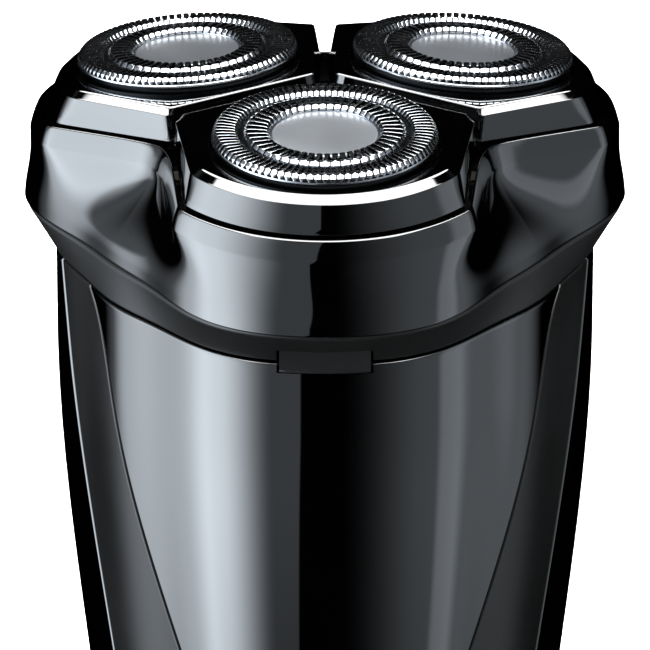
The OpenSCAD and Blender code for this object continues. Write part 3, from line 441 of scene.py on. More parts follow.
def makeHousing():
    rows = [housingWall(1.0, 0.5), housingWall(1.0, 0.12), housingWall(0.994, 0.03)]
    rows += [housingWall(t, 0) for t in [0.985] + steps(0.97, 0.06, 44) + [0.03, 0.012, 0.0]]
    # up the lip's slope, over its rounded crest and down inside
    for d, drop in housing["lip"]:
        rows.append(housingLip(d, drop))
    rows += [housingWall(t, housing["wall"]) for t in steps(0.06, 1.0, 14)]
    points, faces = loopSolid(rows)
    piece = toObject("housingShell", points, faces, "glossBlack")
    return place(piece, "head", ("head_housing",))


makeHousing()
print("housing made")

# ---- collar ----------------------------------------------------------------------------------

collar = {
    "wall": 2.0, "seamGap": 0.08,
    "notchHalf": 5.3, "notchTop": 136.75,       # cut-out for the release button
    "round": 0.62,          # depth of the rounded upper edge
}


def collarPoint(a, t, d, z):
    r = mix(handleRadius(a, levels["handleTop"]), seamRadius(a), t) - d
    s = mix(handleForm["stretch"], seamForm["stretch"], t)
    return (s * r * cosd(a), r * sind(a), z)


def makeCollar():
    low, high = levels["collarLow"], levels["seam"] - collar["seamGap"]
    rise = high - low
    section = [(0.0, 0.12), (0.02, 0.0)] + [(t, 0.0) for t in steps(0.06, 0.84, 14)]
    for k in range(7):          # the rounded upper edge
        u = math.pi / 2 * k / 6
        section.append((0.86 + 0.14 * math.sin(u), collar["round"] * (1 - math.cos(u))))
    rows = [[collarPoint(a, t, d, low + rise * t) for a in azimuths] for t, d in section]
    rows.append([collarPoint(a, 1.0, collar["wall"], high) for a in azimuths])
    rows.append([collarPoint(a, 0.5, collar["wall"], mix(low, high, 0.5)) for a in azimuths])
    rows.append([collarPoint(a, 0.0, collar["wall"], low) for a in azimuths])
    points, faces = loopSolid(rows)
    piece = toObject("collarBand", points, faces, "satinBlack", sharp=50)
    half = collar["notchHalf"]
    cutWith(piece, blockCutter((-half, outside, low - 1), (half, -24, collar["notchTop"])))
    for x in (-hinge["earX"], hinge["knuckleHalf"]):    # room for the handle's two hinge ears
        ear = (x + hinge["earW"], hinge["earOut"], hinge["earTop"])
        cutWith(piece, blockCutter((x, hinge["earIn"], low - 1), ear))
    piece.data.set_sharp_from_angle(angle=math.radians(50))
    return place(piece, "head", ("head_band",))


makeCollar()


def makeKnuckle():              # the unit's own hinge knuckle, between the handle's ears
    piece = hingeRod("hingeKnuckle", hinge["knuckleHalf"], hinge["knuckleR"], 48, sharp=40)
    return place(piece, "head")


makeKnuckle()
print("collar made")

# ---- petals ----------------------------------------------------------------------------------

petal = {
    "bore": 12.7, "well": 14.0, "counterbore": 13.3, "ledge": -2.6, "wellLow": -9.2,
    "face": -0.5, "chamfer": -1.3, "foot": -4.08, "skirt": -5.2,
    "corner": (10.84, 16.35),       # the foot's sharp corner, along and across the head's direction
    # outlines at three of these levels: arc, flank, slope of the flank, half of the slot, crispness
    "outlines": {
        "face": (16.85, 17.35, 0.14, 1.2, 90), "chamfer": (17.6, 18.1, 0.14, 1.17, 110),
        "foot": (lobe["footR"], lobe["side"], lobe["slope"], 0.85, lobe["crisp"]),
    },
}


def petalOutline(arcR, side, slope, slot, crisp, angle):
    # distance from the head's centre to the petal's edge, towards angle, found by halving
    tip = slot / sind(60)
    low, high = 0.0, 30.0
    for _ in range(34):
        mid = (low + high) / 2
        x, y = headR + mid * cosd(angle), mid * sind(angle)
        r, psi = math.hypot(x, y), math.degrees(math.atan2(abs(y), x))
        wedge = (x - tip) * sind(60) - abs(y) * cosd(60) > 0
        inside = psi < 88 and wedge and r < lobeEdge(psi, arcR, side, slope, crisp)
        low, high = (mid, high) if inside else (low, mid)
    return low


def petalAngles():
    base = [-180 + 360 * j / 480 for j in range(480)]
    along, across = petal["corner"]
    corner = math.degrees(math.atan2(across, along - headR))
    extra = [s * (corner + d) for s in (-1, 1) for d in (-0.5, -0.25, 0.0, 0.25, 0.5)]
    return sorted(set(round(v, 4) for v in base + extra))


def makePetal(i):
    angles = petalAngles()
    reach = {key: [petalOutline(*form, a) for a in angles] for key, form in petal["outlines"].items()}
    for key in reach:           # soften the two sharp slot corners and the inner tip
        row = reach[key]
        n = len(row)
        for _ in range(2):
            row = [(row[j - 1] + 2 * row[j] + row[(j + 1) % n]) / 4 for j in range(n)]
        reach[key] = row

    def ring(r, z):
        return [(r * cosd(a), r * sind(a), z) for a in angles]

    def edge(lower, upper, t, d, z):
        return [((mix(p, q, t) - d) * cosd(a), (mix(p, q, t) - d) * sind(a), z)
                for p, q, a in zip(reach[lower], reach[upper], angles)]

    p = petal
    face, chamfer, foot, skirt = p["face"], p["chamfer"], p["foot"], p["skirt"]
    rows = [
        ring(p["counterbore"], p["wellLow"]), ring(p["counterbore"], p["ledge"] - 0.05),
        ring(p["counterbore"] - 0.05, p["ledge"]), ring(p["bore"] + 0.05, p["ledge"]),
        ring(p["bore"], p["ledge"] + 0.05), ring(p["bore"], face - 0.3), ring(p["bore"] + 0.03, face - 0.12),
        ring(p["bore"] + 0.12, face - 0.03), ring(p["bore"] + 0.3, face),
        edge("face", "face", 0, 0.3, face), edge("face", "face", 0, 0.15, face - 0.01),
        edge("face", "face", 0, 0.0, face - 0.15),
    ]
    for t in (0.07, 0.14, 0.5, 0.86, 0.93):     # rows near its edges keep the bevel's light flat
        rows.append(edge("face", "chamfer", t, 0.0, mix(face - 0.15, chamfer, t)))
    rows += [
        edge("face", "chamfer", 0.98, 0.0, mix(face, chamfer, 0.98)),
        edge("chamfer", "foot", 0.008, 0.0, mix(chamfer, foot, 0.008)),
        edge("chamfer", "foot", 0.03, 0.0, mix(chamfer, foot, 0.03)),
        edge("chamfer", "foot", 0.08, 0.0, mix(chamfer, foot, 0.08)),
    ]
    for t in steps(0.2, 1.0, 5):
        rows.append(edge("chamfer", "foot", t, 0.0, mix(chamfer, foot, t)))
    rows += [
        edge("foot", "foot", 0, 0.0, foot - 0.02), edge("foot", "foot", 0, -0.08, foot - 0.1),
        edge("foot", "foot", 0, -0.08, foot - 0.2), edge("foot", "foot", 0, 0.0, foot - 0.3),
        edge("foot", "foot", 0, 0.0, skirt + 0.1), edge("foot", "foot", 0, 0.1, skirt),
        edge("foot", "foot", 0, 1.1, skirt), edge("foot", "foot", 0, 1.2, skirt + 0.1),
        edge("foot", "foot", 0, 1.25, foot),
    ]
    inner = [max(p["well"] + 0.02, mix(q, w, 0.4) - 1.3) for q, w in zip(reach["face"], reach["chamfer"])]
    rows.append([(r * cosd(a), r * sind(a), chamfer - 1.2) for r, a in zip(inner, angles)])
    rows.append(ring(p["well"], chamfer - 1.25))
    rows.append(ring(p["well"], p["wellLow"] + 0.1))
    rows.append(ring(p["well"] - 0.1, p["wellLow"]))
    points, faces = loopSolid([[atHead(i, q) for q in row] for row in rows])
    faces = [tuple(reversed(f)) for f in faces]
    return toObject(f"petalShell{i + 1}", points, faces, "glossBlack", sharp=60)


for i in range(3):
    shell = makePetal(i)
    place(shell, f"pod_{i + 1}", (f"petal_{i + 1}",))
print("petals made")

# ---- guards ----------------------------------------------------------------------------------

guard = {
    "rise": 1.2, "sheet": 0.3,
    "outerCount": 92, "innerCount": 48,
    "slant": -6.0,          # lean of the ribs, in degrees
    "gap": 0.17,            # slit left between the ribs' shoulders
    "crown": 0.022,         # how far a rib's long edges are rounded down
    "outerRib": 0.27, "innerRib": 0.36,
    "outerPivot": 12.4, "innerPivot": 8.7,      # radius at which a slanting rib crosses its own spoke
    "facets": 240,          # of the turned pieces
    # sections of the two tracks: radius, height, 1 where the ribs widen into the shoulder
    "outer": ((9.56, 0.48, 1), (9.6, 0.8, 1), (9.88, 1.12, 1), (9.94, 1.16, 0), (10.3, 1.19, 0),
              (10.7, 1.2, 0), (11.2, 1.2, 0), (11.6, 1.19, 0), (11.93, 1.15, 0), (11.99, 1.12, 1),
              (12.28, 0.81, 1), (12.36, 0.5, 0), (12.38, 0.3, 0)),
    "inner": ((6.05, 0.45, 1), (6.09, 0.82, 1), (6.36, 1.12, 1), (6.42, 1.16, 0), (6.8, 1.19, 0),
              (7.2, 1.2, 0), (7.8, 1.2, 0), (8.25, 1.19, 0), (8.57, 1.15, 0), (8.63, 1.12, 1),
              (8.9, 0.82, 1), (8.96, 0.48, 1)),
}


def ribTree(name):
    tree = bpy.data.node_groups.new(name, "GeometryNodeTree")
    face = tree.interface
    face.new_socket("Geometry", in_out="INPUT", socket_type="NodeSocketGeometry")
    count = face.new_socket("Rib count", in_out="INPUT", socket_type="NodeSocketInt")
    metal = face.new_socket("Metal", in_out="INPUT", socket_type="NodeSocketMaterial")
    walls = face.new_socket("Slit walls", in_out="INPUT", socket_type="NodeSocketMaterial")
    face.new_socket("Geometry", in_out="OUTPUT", socket_type="NodeSocketGeometry")
    start = addNode(tree, "NodeGroupInput")
    line = addNode(tree, "GeometryNodeMeshLine", links={"Count": start.outputs["Rib count"]}, mode="OFFSET")
    line.inputs["Offset"].default_value = (0, 0, 0)
    index = addNode(tree, "GeometryNodeInputIndex")
    step = addNode(tree, "ShaderNodeMath", {0: 2 * math.pi}, {1: start.outputs["Rib count"]},
                   operation="DIVIDE")
    turn = addNode(tree, "ShaderNodeMath", links={0: index.outputs[0], 1: step.outputs[0]},
                   operation="MULTIPLY")
    spin = addNode(tree, "ShaderNodeCombineXYZ", links={"Z": turn.outputs[0]})
    ribs = addNode(tree, "GeometryNodeInstanceOnPoints",
                   links={"Points": line.outputs["Mesh"], "Instance": start.outputs["Geometry"],
                          "Rotation": spin.outputs[0]})
    real = addNode(tree, "GeometryNodeRealizeInstances", links={"Geometry": ribs.outputs["Instances"]})
    coat = addNode(tree, "GeometryNodeSetMaterial",
                   links={"Geometry": real.outputs["Geometry"], "Material": start.outputs["Metal"]})
    # the slit walls get the second finish, steel painted dark as shade
    slit = addNode(tree, "GeometryNodeInputNamedAttribute", {"Name": "slit"}, data_type="BOOLEAN")
    dark = addNode(tree, "GeometryNodeSetMaterial",
                   links={"Geometry": coat.outputs["Geometry"], "Selection": slit.outputs["Attribute"],
                          "Material": start.outputs["Slit walls"]})
    addNode(tree, "NodeGroupOutput", links={"Geometry": dark.outputs["Geometry"]})
    return tree, count.identifier, metal.identifier, walls.identifier


ribNodes, countInput, metalInput, wallInput = ribTree("guardRibs")


def ribMesh(track, count, rib, pivot):
    # one rib along its track, crowned across its width
    g = guard
    points, faces = [], []
    for k, (r, z, wide) in enumerate(track):
        before, after = track[max(0, k - 1)], track[min(len(track) - 1, k + 1)]
        along = Vector((after[0] - before[0], after[1] - before[1])).normalized()
        nr, nz = -along.y, along.x
        width = 2 * math.pi * r / count - g["gap"] if wide else rib
        lean = math.tan(math.radians(g["slant"])) * (r - pivot)
        edge = min(0.09, 0.33 * width)
        down = g["crown"]
        half = width / 2
        for y, d in ((-half, down), (-half + edge, 0), (half - edge, 0), (half, down),
                     (half, g["sheet"]), (-half, g["sheet"])):
            points.append((r - nr * d, lean + y, z - nz * d))
    n = len(track)
    for k in range(n - 1):
        for j in range(6):
            a, b = 6 * k + j, 6 * k + (j + 1) % 6
            faces.append((a, a + 6, b + 6, b))
    faces += [tuple(range(6)), tuple(reversed(range(6 * n - 6, 6 * n)))]
    return points, faces


def instancedRibs(name, points, faces, count):
    rib = toObject(name, points, faces, "guardSteel")
    slit = rib.data.attributes.new("slit", "BOOLEAN", "FACE")
    # of a rib's six sides the last three are slit walls, and so are its two ends; these take the steel
    # painted dark as shade
    slit.data.foreach_set("value", [k % 6 > 2 for k in range(len(faces) - 2)] + [True, True])
    tool = rib.modifiers.new("around", "NODES")
    tool.node_group = ribNodes
    tool[countInput] = count
    tool[metalInput] = finishes["guardSteel"]
    tool[wallInput] = finishes["paintedShadeSteel"]
    return applied(rib)


def makeRibs(track):
    g = guard
    count = g[track + "Count"]
    points, faces = ribMesh(g[track], count, g[track + "Rib"], g[track + "Pivot"])
    return instancedRibs(track + "Ribs", points, faces, count)


def joinPieces(name, parts):    # one mesh out of several, each part keeping its finish
    mesh = bpy.data.meshes.new(name)
    tool = bmesh.new()
    finishList = []
    for part in parts:
        own = list(part.data.materials)
        finishList += [m for m in own if m not in finishList]
        start = len(tool.faces)
        tool.from_mesh(part.data)
        tool.faces.ensure_lookup_table()
        for face in tool.faces[start:]:
            face.material_index = finishList.index(own[face.material_index])
    tool.to_mesh(mesh)
    tool.free()
    for finish in finishList:
        mesh.materials.append(finish)
    for part in parts:
        bpy.data.objects.remove(part)
    piece = bpy.data.objects.new(name, mesh)
    bpy.context.scene.collection.objects.link(piece)
    return piece


def guardRing(name, profile, finish):
    points, faces = loopSolid(lathe(profile, guard["facets"]))
    return toObject(name, points, faces, finish, sharp=35)


def makeGuard(i):
    outer, inner = makeRibs("outer"), makeRibs("inner")
    rise = guard["rise"]
    # the groove is in steel painted dark as shade
    groove = guardRing("groove", [          # channel between the tracks
        (8.7, rise - 0.66), (8.97, rise - 0.7), (9.04, rise - 0.84), (9.48, rise - 0.84),
        (9.55, rise - 0.7), (9.82, rise - 0.66), (9.82, rise - 0.76), (9.62, rise - 1.0),
        (8.9, rise - 1.0), (8.7, rise - 0.76)][::-1], "paintedShadeSteel")
    rim = guardRing("rim", [                # bright rim under the slots
        (12.42, 0.4), (12.47, 0.32), (12.48, 0.22), (12.44, 0.12), (12.34, 0.08), (11.98, 0.08),
        (11.98, 0.4)][::-1], "guardSteel")
    seat = guardRing("seat", [              # dish that holds the centre cap
        (6.34, rise - 0.7), (6.05, rise - 0.66), (5.98, 0.34), (5.92, 0.24), (5.8, 0.2), (0.4, 0.2),
        (0.4, -0.15), (6.0, -0.15), (6.34, 0.3)], "guardSteel")
    # the skirt is in steel painted dark as shade
    skirt = guardRing("skirt", [            # dark skirt and flange that hold the guard in its well
        (12.22, 0.1), (12.22, -2.62), (12.3, -2.68), (13.0, -2.68), (13.0, -3.2), (11.9, -3.2),
        (11.9, 0.1)][::-1], "paintedShadeSteel")
    piece = joinPieces(f"guardPlate{i + 1}", [outer, inner, groove, rim, seat, skirt])
    for v in piece.data.vertices:
        x, y, z = (c / mm for c in v.co)
        v.co = [c * mm for c in atHead(i, (x, y, z))]
    piece.data.shade_smooth()
    piece.data.set_sharp_from_angle(angle=math.radians(22))
    return place(piece, f"foil_{i + 1}", (f"guard_{i + 1}",))


def makeCap(i):
    profile = [(5.84, 0.2), (5.84, 0.46), (5.81, 0.53), (5.74, 0.56), (5.6, 0.57), (2.6, 0.58),
               (0.001, 0.58), (0.001, 0.2)]
    points, faces = loopSolid([[atHead(i, p) for p in row] for row in lathe(profile, 160)])
    piece = toObject(f"capDisc{i + 1}", points, faces, "capSteel", sharp=30)
    return place(piece, f"foil_{i + 1}", (f"guard_cap_{i + 1}",))


for i in range(3):
    makeGuard(i)
    makeCap(i)
print("guards made")

# ---- handle skins ----------------------------------------------------------------------------

handle = {
    "power": 71.5, "endR": 9.0, "panelLength": 73.0, "panelHalf": 65.5,
    "wall": 1.7, "gap": 0.2, "low": 9.7,
    "roll": 0.34,           # radius rolled onto every skin's edge
    "buttonHole": 6.3, "lensHole": 1.52, "lens": 82.0, "notchLow": 133.25,
    # the panel's edge: curve of the vee, and how far it flares at the top, over which height
    "veeCurve": 1.4, "flare": 9, "flareHeight": 3,
    # the grip's outer edge: its half angle at the top, how much it loses, over which height
    "gripHalf": 91.5, "gripLoss": 38, "gripHeight": 75,
}
panelLow = handle["power"] - handle["endR"]
top = levels["handleTop"]


def panelAngle(z):              # half the angle that the panel covers
    drop = top - z
    share = max(0.0, min(1.0, drop / handle["panelLength"]))
    vee = handle["panelHalf"] * (1 - share ** handle["veeCurve"])
    vee += handle["flare"] * math.exp(-drop / handle["flareHeight"])
    reach = handle["endR"] ** 2 - max(0.0, handle["power"] - z) ** 2
    bowl = math.degrees(math.asin(min(1.0, math.sqrt(max(0.0, reach)) / handleRadius(front, z))))
    return max(vee, bowl) if z > handle["power"] else bowl


def gripAngle(z):
    lost = 1 - math.exp(-(top - z) / handle["gripHeight"])
    return handle["gripHalf"] - handle["gripLoss"] * lost


def arcAngle(z, length):        # angle of a length along the skin
    return math.degrees(length / handleRadius(front, z))


def rolled(s):                  # depth of a rolled edge at distance s from it
    r = handle["roll"]
    return 0.0 if s >= r else r - math.sqrt(max(0.0, r * r - (r - s) ** 2))


edgeSteps = [0.0, 0.02, 0.06, 0.12, 0.2, 0.28, 0.36, 0.5]


def spread(width, count):       # distances across a strip, close together at both edges
    if width < 2.2 * edgeSteps[-1]:
        return steps(0.0, width, count + 2 * len(edgeSteps) - 2)
    middle = steps(edgeSteps[-1], width - edgeSteps[-1], count)
    return edgeSteps[:-1] + middle + [width - e for e in reversed(edgeSteps[:-1])]


def heights(low, high, count):  # heights of the rows, close together at both ends
    middle = steps(low + edgeSteps[-1], high - edgeSteps[-1], count)
    return [low + e for e in edgeSteps[:-1]] + middle + [high - e for e in reversed(edgeSteps[:-1])]


def skinGrid(zs, fromAngle, toAngle, columns, distance):
    outer, inner = [], []
    for z in zs:
        a, b = fromAngle(z), toAngle(z)
        width = math.radians(b - a) * handleRadius(front, z)
        if width > 1e-3:
            turn = [mix(a, b, t / width) for t in spread(width, columns)]
        else:
            turn = [a] * len(spread(1.0, columns))
        outer.append([handlePoint(v, z, rolled(distance(v, z))) for v in turn])
        inner.append([handlePoint(v, z, handle["wall"]) for v in turn])
    return outer, inner


def sideReach(z, angle, edge):  # distance along the skin from an edge
    return abs(math.radians(angle - edge)) * handleRadius(front, z)


def panelReach(a, z):           # distance inside the panel's edge
    if z < handle["power"]:
        x = handleRadius(front, z) * sind(abs(a - front))
        return handle["endR"] - math.hypot(x, handle["power"] - z)
    return (panelAngle(z) - abs(a - front)) * math.radians(1) * handleRadius(front, z)


panelZs = [handle["power"] - handle["endR"] * cosd(t) for t in steps(2, 88, 36)]
panelZs += steps(handle["power"] + 0.6, top - 0.5, 100)
panelZs += [top - e for e in reversed(edgeSteps[:-1])]


def makePanel():
    outer, inner = skinGrid(panelZs, lambda z: front - panelAngle(z), lambda z: front + panelAngle(z), 110,
                            lambda a, z: min(panelReach(a, z), top - z))
    points, faces = plateSolid(outer, inner)
    piece = toObject("panelSkin", points, faces, "glossBlack")
    cutWith(piece, rodCutter(handle["power"], handle["buttonHole"]))
    cutWith(piece, rodCutter(handle["lens"], handle["lensHole"]))
    half = collar["notchHalf"]
    cutWith(piece, blockCutter((-half, outside, handle["notchLow"]), (half, -20, 140)))
    piece.data.set_sharp_from_angle(angle=math.radians(40))
    return place(piece, "handle", ("front_panel",))


def makeGrip():
    gap = handle["gap"]
    split = panelLow - gap      # below this the two arms are one
    lower = heights(handle["low"], split, 70)
    upper = [z for z in panelZs if z > panelLow + 0.01]
    upper = [mix(split, upper[0], t) for t in (0.25, 0.6)] + upper
    zs = lower + upper

    def hole(z):                # half angle of the panel's opening
        if z <= split:
            return 0.0
        if z >= handle["power"]:
            return panelAngle(z) + arcAngle(z, gap)
        reach = math.sqrt(max(0.0, (handle["endR"] + gap) ** 2 - (handle["power"] - z) ** 2))
        return math.degrees(math.asin(reach / handleRadius(front, z)))

    def distance(a, z):
        rear = sideReach(z, abs(a - front), gripAngle(z))
        near = sideReach(z, abs(a - front), hole(z))
        if z < handle["power"]:
            x = handleRadius(front, z) * sind(abs(a - front))
            near = math.hypot(x, handle["power"] - z) - handle["endR"] - gap
        return max(0.0, min(rear, near, top - z, z - handle["low"]))

    arms = (
        (lambda z: front - gripAngle(z), lambda z: front - hole(z)),
        (lambda z: front + hole(z), lambda z: front + gripAngle(z)),
    )
    tool = bmesh.new()
    for start, end in arms:
        points, faces = plateSolid(*skinGrid(zs, start, end, 46, distance))
        arm = bpy.data.meshes.new("arm")
        arm.from_pydata([tuple(c * mm for c in p) for p in points], [], faces)
        tool.from_mesh(arm)
        bpy.data.meshes.remove(arm)
    # below the panel the arms meet: their points there are merged and the wall between them goes
    bmesh.ops.remove_doubles(tool, verts=tool.verts, dist=2e-7)
    middle = [f for f in tool.faces if all(abs(v.co.x) < 1e-7 for v in f.verts)]
    bmesh.ops.delete(tool, geom=middle, context="FACES_ONLY")
    mesh = bpy.data.meshes.new("gripSkin")
    tool.to_mesh(mesh)
    tool.free()
    mesh.materials.append(finishes["softGrip"])
    mesh.shade_smooth()
    mesh.set_sharp_from_angle(angle=math.radians(40))
    piece = bpy.data.objects.new("gripSkin", mesh)
    bpy.context.scene.collection.objects.link(piece)
    return place(piece, "handle", ("front_grip",))


def makeRear():
    def start(z):
        return front + gripAngle(z) + arcAngle(z, handle["gap"])

    def end(z):
        return front + 360 - gripAngle(z) - arcAngle(z, handle["gap"])

    def distance(a, z):
        sides = min(sideReach(z, a, start(z)), sideReach(z, a, end(z)))
        return max(0.0, min(sides, top - z, z - handle["low"]))

    points, faces = plateSolid(*skinGrid(heights(handle["low"], top, 110), start, end, 220, distance))
    piece = toObject("rearSkin", points, faces, "glossBlack")
    cutWith(piece, hingeRod("cutter", hinge["earX"], hinge["clearR"], 64))
    piece.data.set_sharp_from_angle(angle=math.radians(40))
    return place(piece, "handle", ("rear_shell",))


makePanel()
makeGrip()
makeRear()
print("skins made")

# ---- release and power buttons ---------------------------------------------------------------


release = {
    "half": 5.0, "depth": 4.0,
    "proud": 0.55,          # how far its middle stands out of the handle
    "bow": 0.42,            # how far its ends curve back
}


def makeRelease():
    reach = handleRadius(front, top) + release["proud"]
    zs = [133.5, 133.62, 134.5, 135.2, 135.8, 136.0, 136.15, 136.28, 136.37, 136.4]
    ins = [0.12, 0.0, 0.0, 0.0, 0.0, 0.02, 0.09, 0.22, 0.42, 0.7]
    half, depth = release["half"], release["depth"]
    rows = []
    for z, d in zip(zs, ins):
        ring = []
        for t in steps(-1, 1, 24):
            x = (half - d) * t
            bow = release["bow"] * t * t + (0.0 if abs(t) < 0.97 else 0.12)
            ring.append((x, -reach + bow + d * 0.8, z))
        ring.append((half - d, -reach + depth, z))
        ring.append((-(half - d), -reach + depth, z))
        rows.append(ring)
    points, faces = cappedSolid(rows)
    piece = toObject("releaseCap", points, faces, "satinBlack", sharp=35)
    return place(piece, "release_key")


def makePower():
    face = handleRadius(front, handle["power"])
    # dished face, from the middle out, with a low rounded rim
    profile = [(0.001, 0.35), (2.0, 0.34), (4.2, 0.22), (5.0, 0.06), (5.4, -0.06), (5.75, -0.1),
               (5.93, -0.02), (6.0, 0.16), (6.0, 3.2), (0.001, 3.2)]
    rows = [[(x, -face + y, handle["power"] + z) for x, z, y in row] for row in lathe(profile, 160)]
    points, faces = loopSolid(rows)
    piece = toObject("powerCap", points, faces, "satinBlack", sharp=40)
    return place(piece, "power_key")


makeRelease()
makePower()

# ---- base cap --------------------------------------------------------------------------------


baseCap = {
    "top": 9.5,
    "socket": ((-4.6, 7.3, -1), (4.6, 10.7, 4)),
    "screwX": 13, "screwR": 2.1, "screwDepth": 1.0,
    # over the rim and down inside: level of the outline, distance within it, height
    "inside": ((9.5, 1.7, 9.5), (7.0, 1.9, 3.0), (7.0, 3.2, 2.0)),
}


def makeBase():
    zs = [0, 0.12, 0.35, 0.7, 1.2, 1.8, 2.6, 3.4, 4.4, 5.4, 6.2, 7.0, 8.0, 9.0, 9.32, baseCap["top"]]
    ins = [0] * (len(zs) - 2) + [0.05, 0.2]
    rows = [[handlePoint(a, z, d) for a in azimuths[::2]] for z, d in zip(zs, ins)]
    for level, d, z in baseCap["inside"]:
        rows.append([handlePoint(a, level, d)[:2] + (z,) for a in azimuths[::2]])
    points, faces = cappedSolid(rows)
    piece = toObject("baseShell", points, faces, "satinBlack", sharp=45)
    cutWith(piece, blockCutter(*baseCap["socket"]))
    for x in (-baseCap["screwX"], baseCap["screwX"]):
        ring = circle(x, 0, baseCap["screwR"], 48)
        points, faces = cappedSolid([[(px, py, z) for px, py in ring] for z in (-1, baseCap["screwDepth"])])
        cutWith(piece, toObject("cutter", points, faces, "satinBlack"))
    piece.data.set_sharp_from_angle(angle=math.radians(40))
    return place(piece, "handle", ("base_cap",))


makeBase()
print("buttons and base made")

# ---- stage, light and camera -----------------------------------------------------------------

view = {
    "elevation": 20.18, "distance": 850.0, "aim": 156.0, "down": 22.015, "lens": 420.7,
}
floorHalf = 12.0            # in metres


def makeStage():
    floor = bpy.data.objects.new("floor", bpy.data.meshes.new("floor"))
    bpy.context.scene.collection.objects.link(floor)
    h = floorHalf
    floor.data.from_pydata([(-h, -h, 0), (h, -h, 0), (h, h, 0), (-h, h, 0)], [], [(0, 1, 2, 3)])
    paper = bpy.data.materials.new("pale studio floor")
    paper.use_nodes = True
    shader = paper.node_tree.nodes["Principled BSDF"]
    shader.inputs["Base Color"].default_value = linear("#dcdcdc")
    shader.inputs["Roughness"].default_value = 0.9
    shader.inputs["Emission Color"].default_value = (1, 1, 1, 1)
    shader.inputs["Emission Strength"].default_value = 0.55
    floor.data.materials.append(paper)
    floor.visible_glossy = False


# The studio: softboxes and cards around the shaver, with their edges as angles to the right of the
# front and above the horizon. A feather is the angle over which an edge fades out, and a lean moves an
# edge to the right for each degree of height.
softboxes = (
    # large key box at the left, whose scrim fades slowly towards the front
    {"left": -114, "right": -48, "leftFeather": 14, "rightFeather": 48, "leftLean": 1, "rightLean": 0,
     "strength": 2},
    # its lamp, brighter and narrower behind the scrim
    {"left": -97, "right": -48, "leftFeather": 26, "rightFeather": 48, "leftLean": 0, "rightLean": 0,
     "strength": 4},
    # white card between the key and the camera, with a crisp edge in front
    {"left": -122, "right": -6, "leftFeather": 16, "rightFeather": 1, "leftLean": 0, "rightLean": 0.15,
     "strength": 0.45},
    # dim fill at the right, with a thin brighter strip in it
    {"left": 35, "right": 116, "leftFeather": 60, "rightFeather": 20, "leftLean": 0, "rightLean": 0,
     "strength": 0.5},
    {"left": 82, "right": 102, "leftFeather": 8, "rightFeather": 8, "leftLean": 0, "rightLean": 0,
     "strength": 0.6},
)
boxHeight = {"low": -40, "high": 35, "lowFeather": 30, "highFeather": 10}
boxColour = (0.84, 0.92, 1, 1)
anywhere = 400              # an azimuth past every edge
# one box overhead: how far it reaches each way for each unit of its height
overhead = {"side": 0.97, "front": 0.9, "back": 0.8, "feather": 0.04, "strength": 12}
leastHeight = 0.01          # keeps the division defined at the horizon and below


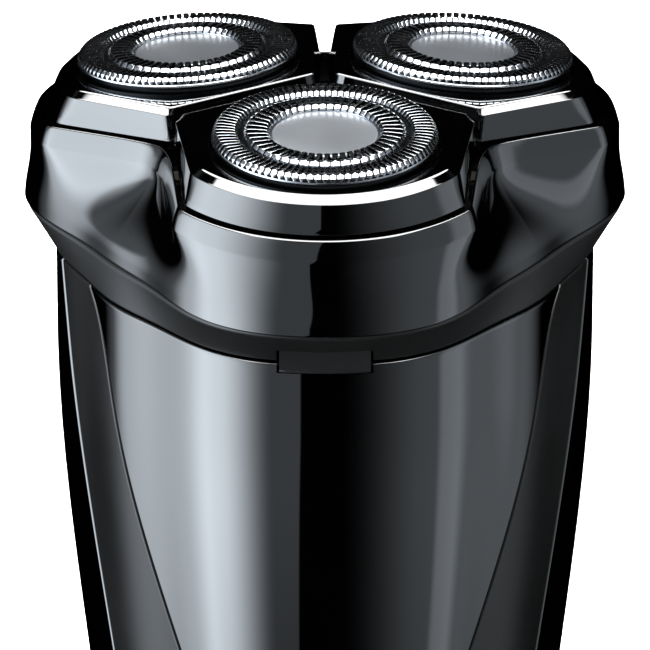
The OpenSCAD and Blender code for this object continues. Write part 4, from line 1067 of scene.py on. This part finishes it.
def makeWorld():
    world = bpy.data.worlds.new("studio")
    bpy.context.scene.world = world
    world.use_nodes = True
    tree = world.node_tree
    tree.nodes.clear()
    way = addNode(tree, "ShaderNodeTexCoord").outputs["Generated"]
    x, y, z = addNode(tree, "ShaderNodeSeparateXYZ", links={"Vector": way}).outputs

    def calc(operation, *terms):
        values = {k: v for k, v in enumerate(terms) if isinstance(v, (int, float))}
        links = {k: v for k, v in enumerate(terms) if not isinstance(v, (int, float))}
        return addNode(tree, "ShaderNodeMath", values, links, operation=operation).outputs[0]

    def edge(value, middle, feather, before, after):
        values = {"From Min": middle - feather / 2, "From Max": middle + feather / 2,
                  "To Min": before, "To Max": after}
        return addNode(tree, "ShaderNodeMapRange", values, {"Value": value},
                       interpolation_type="SMOOTHSTEP").outputs["Result"]

    def inside(value, low, high, lowFeather, highFeather):
        up = edge(value, low, lowFeather, 0.0, 1.0)
        down = edge(value, high, highFeather, 1.0, 0.0)
        return calc("MULTIPLY", up, down)

    toDegrees = 180 / math.pi
    azimuth = calc("MULTIPLY", calc("ARCTAN2", x, calc("MULTIPLY", y, -1.0)), toDegrees)
    clamped = calc("MINIMUM", calc("MAXIMUM", z, -1.0), 1.0)
    elevation = calc("MULTIPLY", calc("ARCSINE", clamped), toDegrees)
    risen = calc("MAXIMUM", elevation, 0.0)
    band = inside(elevation, boxHeight["low"], boxHeight["high"], boxHeight["lowFeather"],
                  boxHeight["highFeather"])
    total = None
    for box in softboxes:
        turned = azimuth
        if box["leftLean"]:
            turned = calc("SUBTRACT", azimuth, calc("MULTIPLY", risen, box["leftLean"]))
        left = inside(turned, box["left"], anywhere, box["leftFeather"], 1)
        leant = calc("SUBTRACT", azimuth, calc("MULTIPLY", elevation, box["rightLean"]))
        right = inside(leant, -anywhere, box["right"], 1, box["rightFeather"])
        glow = calc("MULTIPLY", calc("MULTIPLY", calc("MULTIPLY", left, right), band), box["strength"])
        total = glow if total is None else calc("ADD", total, glow)
    height = calc("MAXIMUM", z, leastHeight)
    feather = overhead["feather"]
    acrossBox = inside(calc("DIVIDE", x, height), -overhead["side"], overhead["side"], feather, feather)
    alongBox = inside(calc("DIVIDE", y, height), -overhead["front"], overhead["back"], feather, feather)
    lamp = calc("MULTIPLY", calc("MULTIPLY", acrossBox, alongBox), overhead["strength"])
    sides = addNode(tree, "ShaderNodeBackground", {"Color": boxColour}, {"Strength": total})
    roof = addNode(tree, "ShaderNodeBackground", {"Color": (1, 1, 1, 1)}, {"Strength": lamp})
    both = addNode(tree, "ShaderNodeAddShader", links={0: sides.outputs[0], 1: roof.outputs[0]})
    addNode(tree, "ShaderNodeOutputWorld", links={"Surface": both.outputs[0]})


def makeCamera():
    camera = bpy.data.objects.new("camera", bpy.data.cameras.new("camera"))
    bpy.context.scene.collection.objects.link(camera)
    camera.data.lens = view["lens"]
    camera.data.sensor_width = 36
    camera.data.clip_start = 0.01
    camera.data.clip_end = 50
    camera.location = (0, -view["distance"] * cosd(view["elevation"]) * mm,
                       (view["aim"] + view["distance"] * sind(view["elevation"])) * mm)
    camera.rotation_euler = (math.radians(90 - view["down"]), 0, 0)
    bpy.context.scene.camera = camera


makeStage()
makeWorld()
makeCamera()
bpy.context.scene.view_settings.view_transform = "Standard"
print("stage made")
